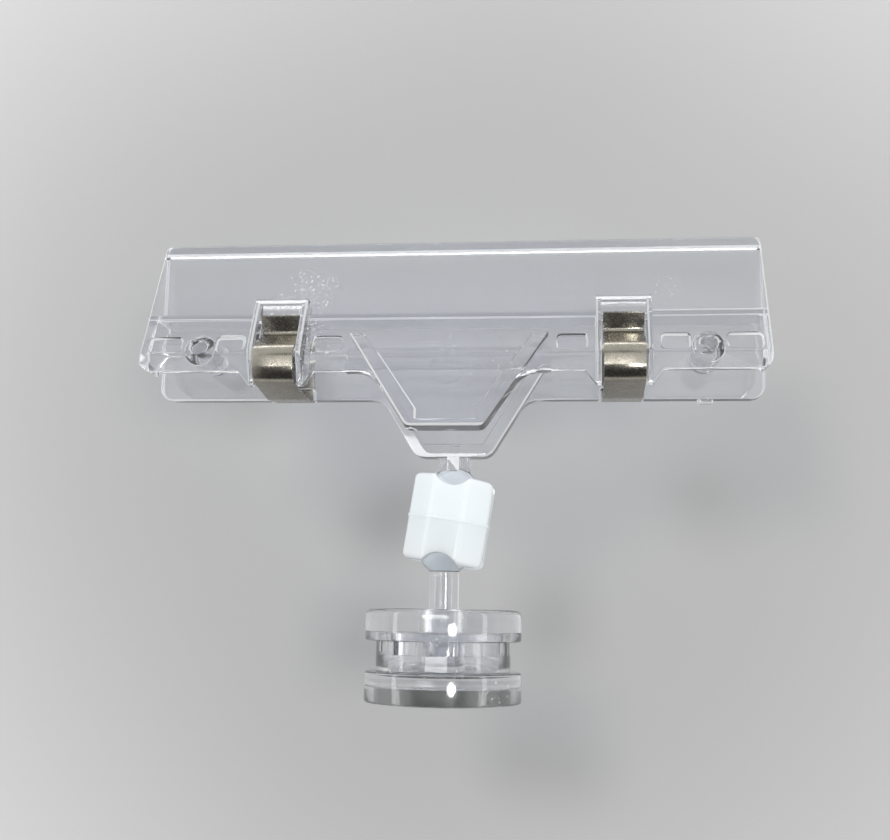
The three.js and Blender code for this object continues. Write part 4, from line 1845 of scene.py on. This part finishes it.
def timed(steps: Sequence[tuple[str, Callable[[], object]]]) -> None:
    """Runs build steps in order and logs each one.

    Args:
        steps: The name and the method of each step.
    """
    for name, step in steps:
        LOG.info("building %s", name)
        step()


def main() -> None:
    """Loads the frame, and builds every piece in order."""
    logging.basicConfig(level=logging.INFO, format="%(name)s: %(message)s")
    for leftover in list(bpy.data.objects):
        bpy.data.objects.remove(leftover)
    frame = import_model()
    # The edge share of each clear finish is a painted highlight on the rounded edges.
    clear = ClearPolystyrene(
        name="crystal_polystyrene_moulded",
        tint="#E9EAED",
        roughness=0.03,
        ripple_mm=7.0,
        ripple_depth_mm=0.02,
        milk=0.012,
        edge_highlight_share=0.6,
        scuff_mm=0.4,
        scuff_field_mm=16.0,
    ).make()
    milky = ClearPolystyrene(
        name="crystal_polystyrene_frosted",
        tint="#EEEFF1",
        roughness=0.08,
        ripple_mm=3.0,
        ripple_depth_mm=0.008,
        milk=0.016,
        edge_highlight_share=0.3,
        scuff_mm=0.5,
        scuff_field_mm=6.0,
    ).make()
    white = WhiteAcetal(
        name="white_acetal_moulded",
        colour="#E9EFF1",
        roughness=0.26,
        glow_mm=2.5,
        lamp_tint="#B8B8B8",
        grain_mm=2.5,
        grain_depth_mm=0.002,
    ).make()
    strip = SatinNickel(
        name="nickel_plated_spring_strip",
        colour="#98948A",
        shade="#89857A",
        roughness=0.23,
        pit_mm=0.3,
        pit_depth_mm=0.004,
        cloud_mm=1.5,
    ).make()
    # The magnet's plate gets a colour far darker than bright nickel: a painted shade for the dim room that
    # its mirror surface shows under the cup.
    bright = BrightNickel(
        name="nickel_plate_painted_dark",
        colour="#464642",
        roughness=0.13,
        patch_mm=3.0,
    ).make()
    nodes = frame["nodes"]
    timed(
        [
            ("base", MagneticBase(milky, bright).build),
            ("stud", BallStud(milky).build),
            ("connector", BallConnector(white).build),
            (
                "back jaw",
                JawMoulding(clear, nodes["back_jaw"], "rear_jaw", "back_jaw", Body.BACK).build,
            ),
            (
                "front jaw",
                FrontJaw(clear, nodes["front_jaw"], "fore_jaw", "front_jaw", Body.FRONT).build,
            ),
            ("left spring", StripSpring(strip, Side.LEFT).build),
            ("right spring", StripSpring(strip, Side.RIGHT).build),
            ("studio", Studio(PaleBoard("pale_board", "#C0C0BF", "#B4B4B3")).build),
        ]
    )


if __name__ == "__main__":
    main()
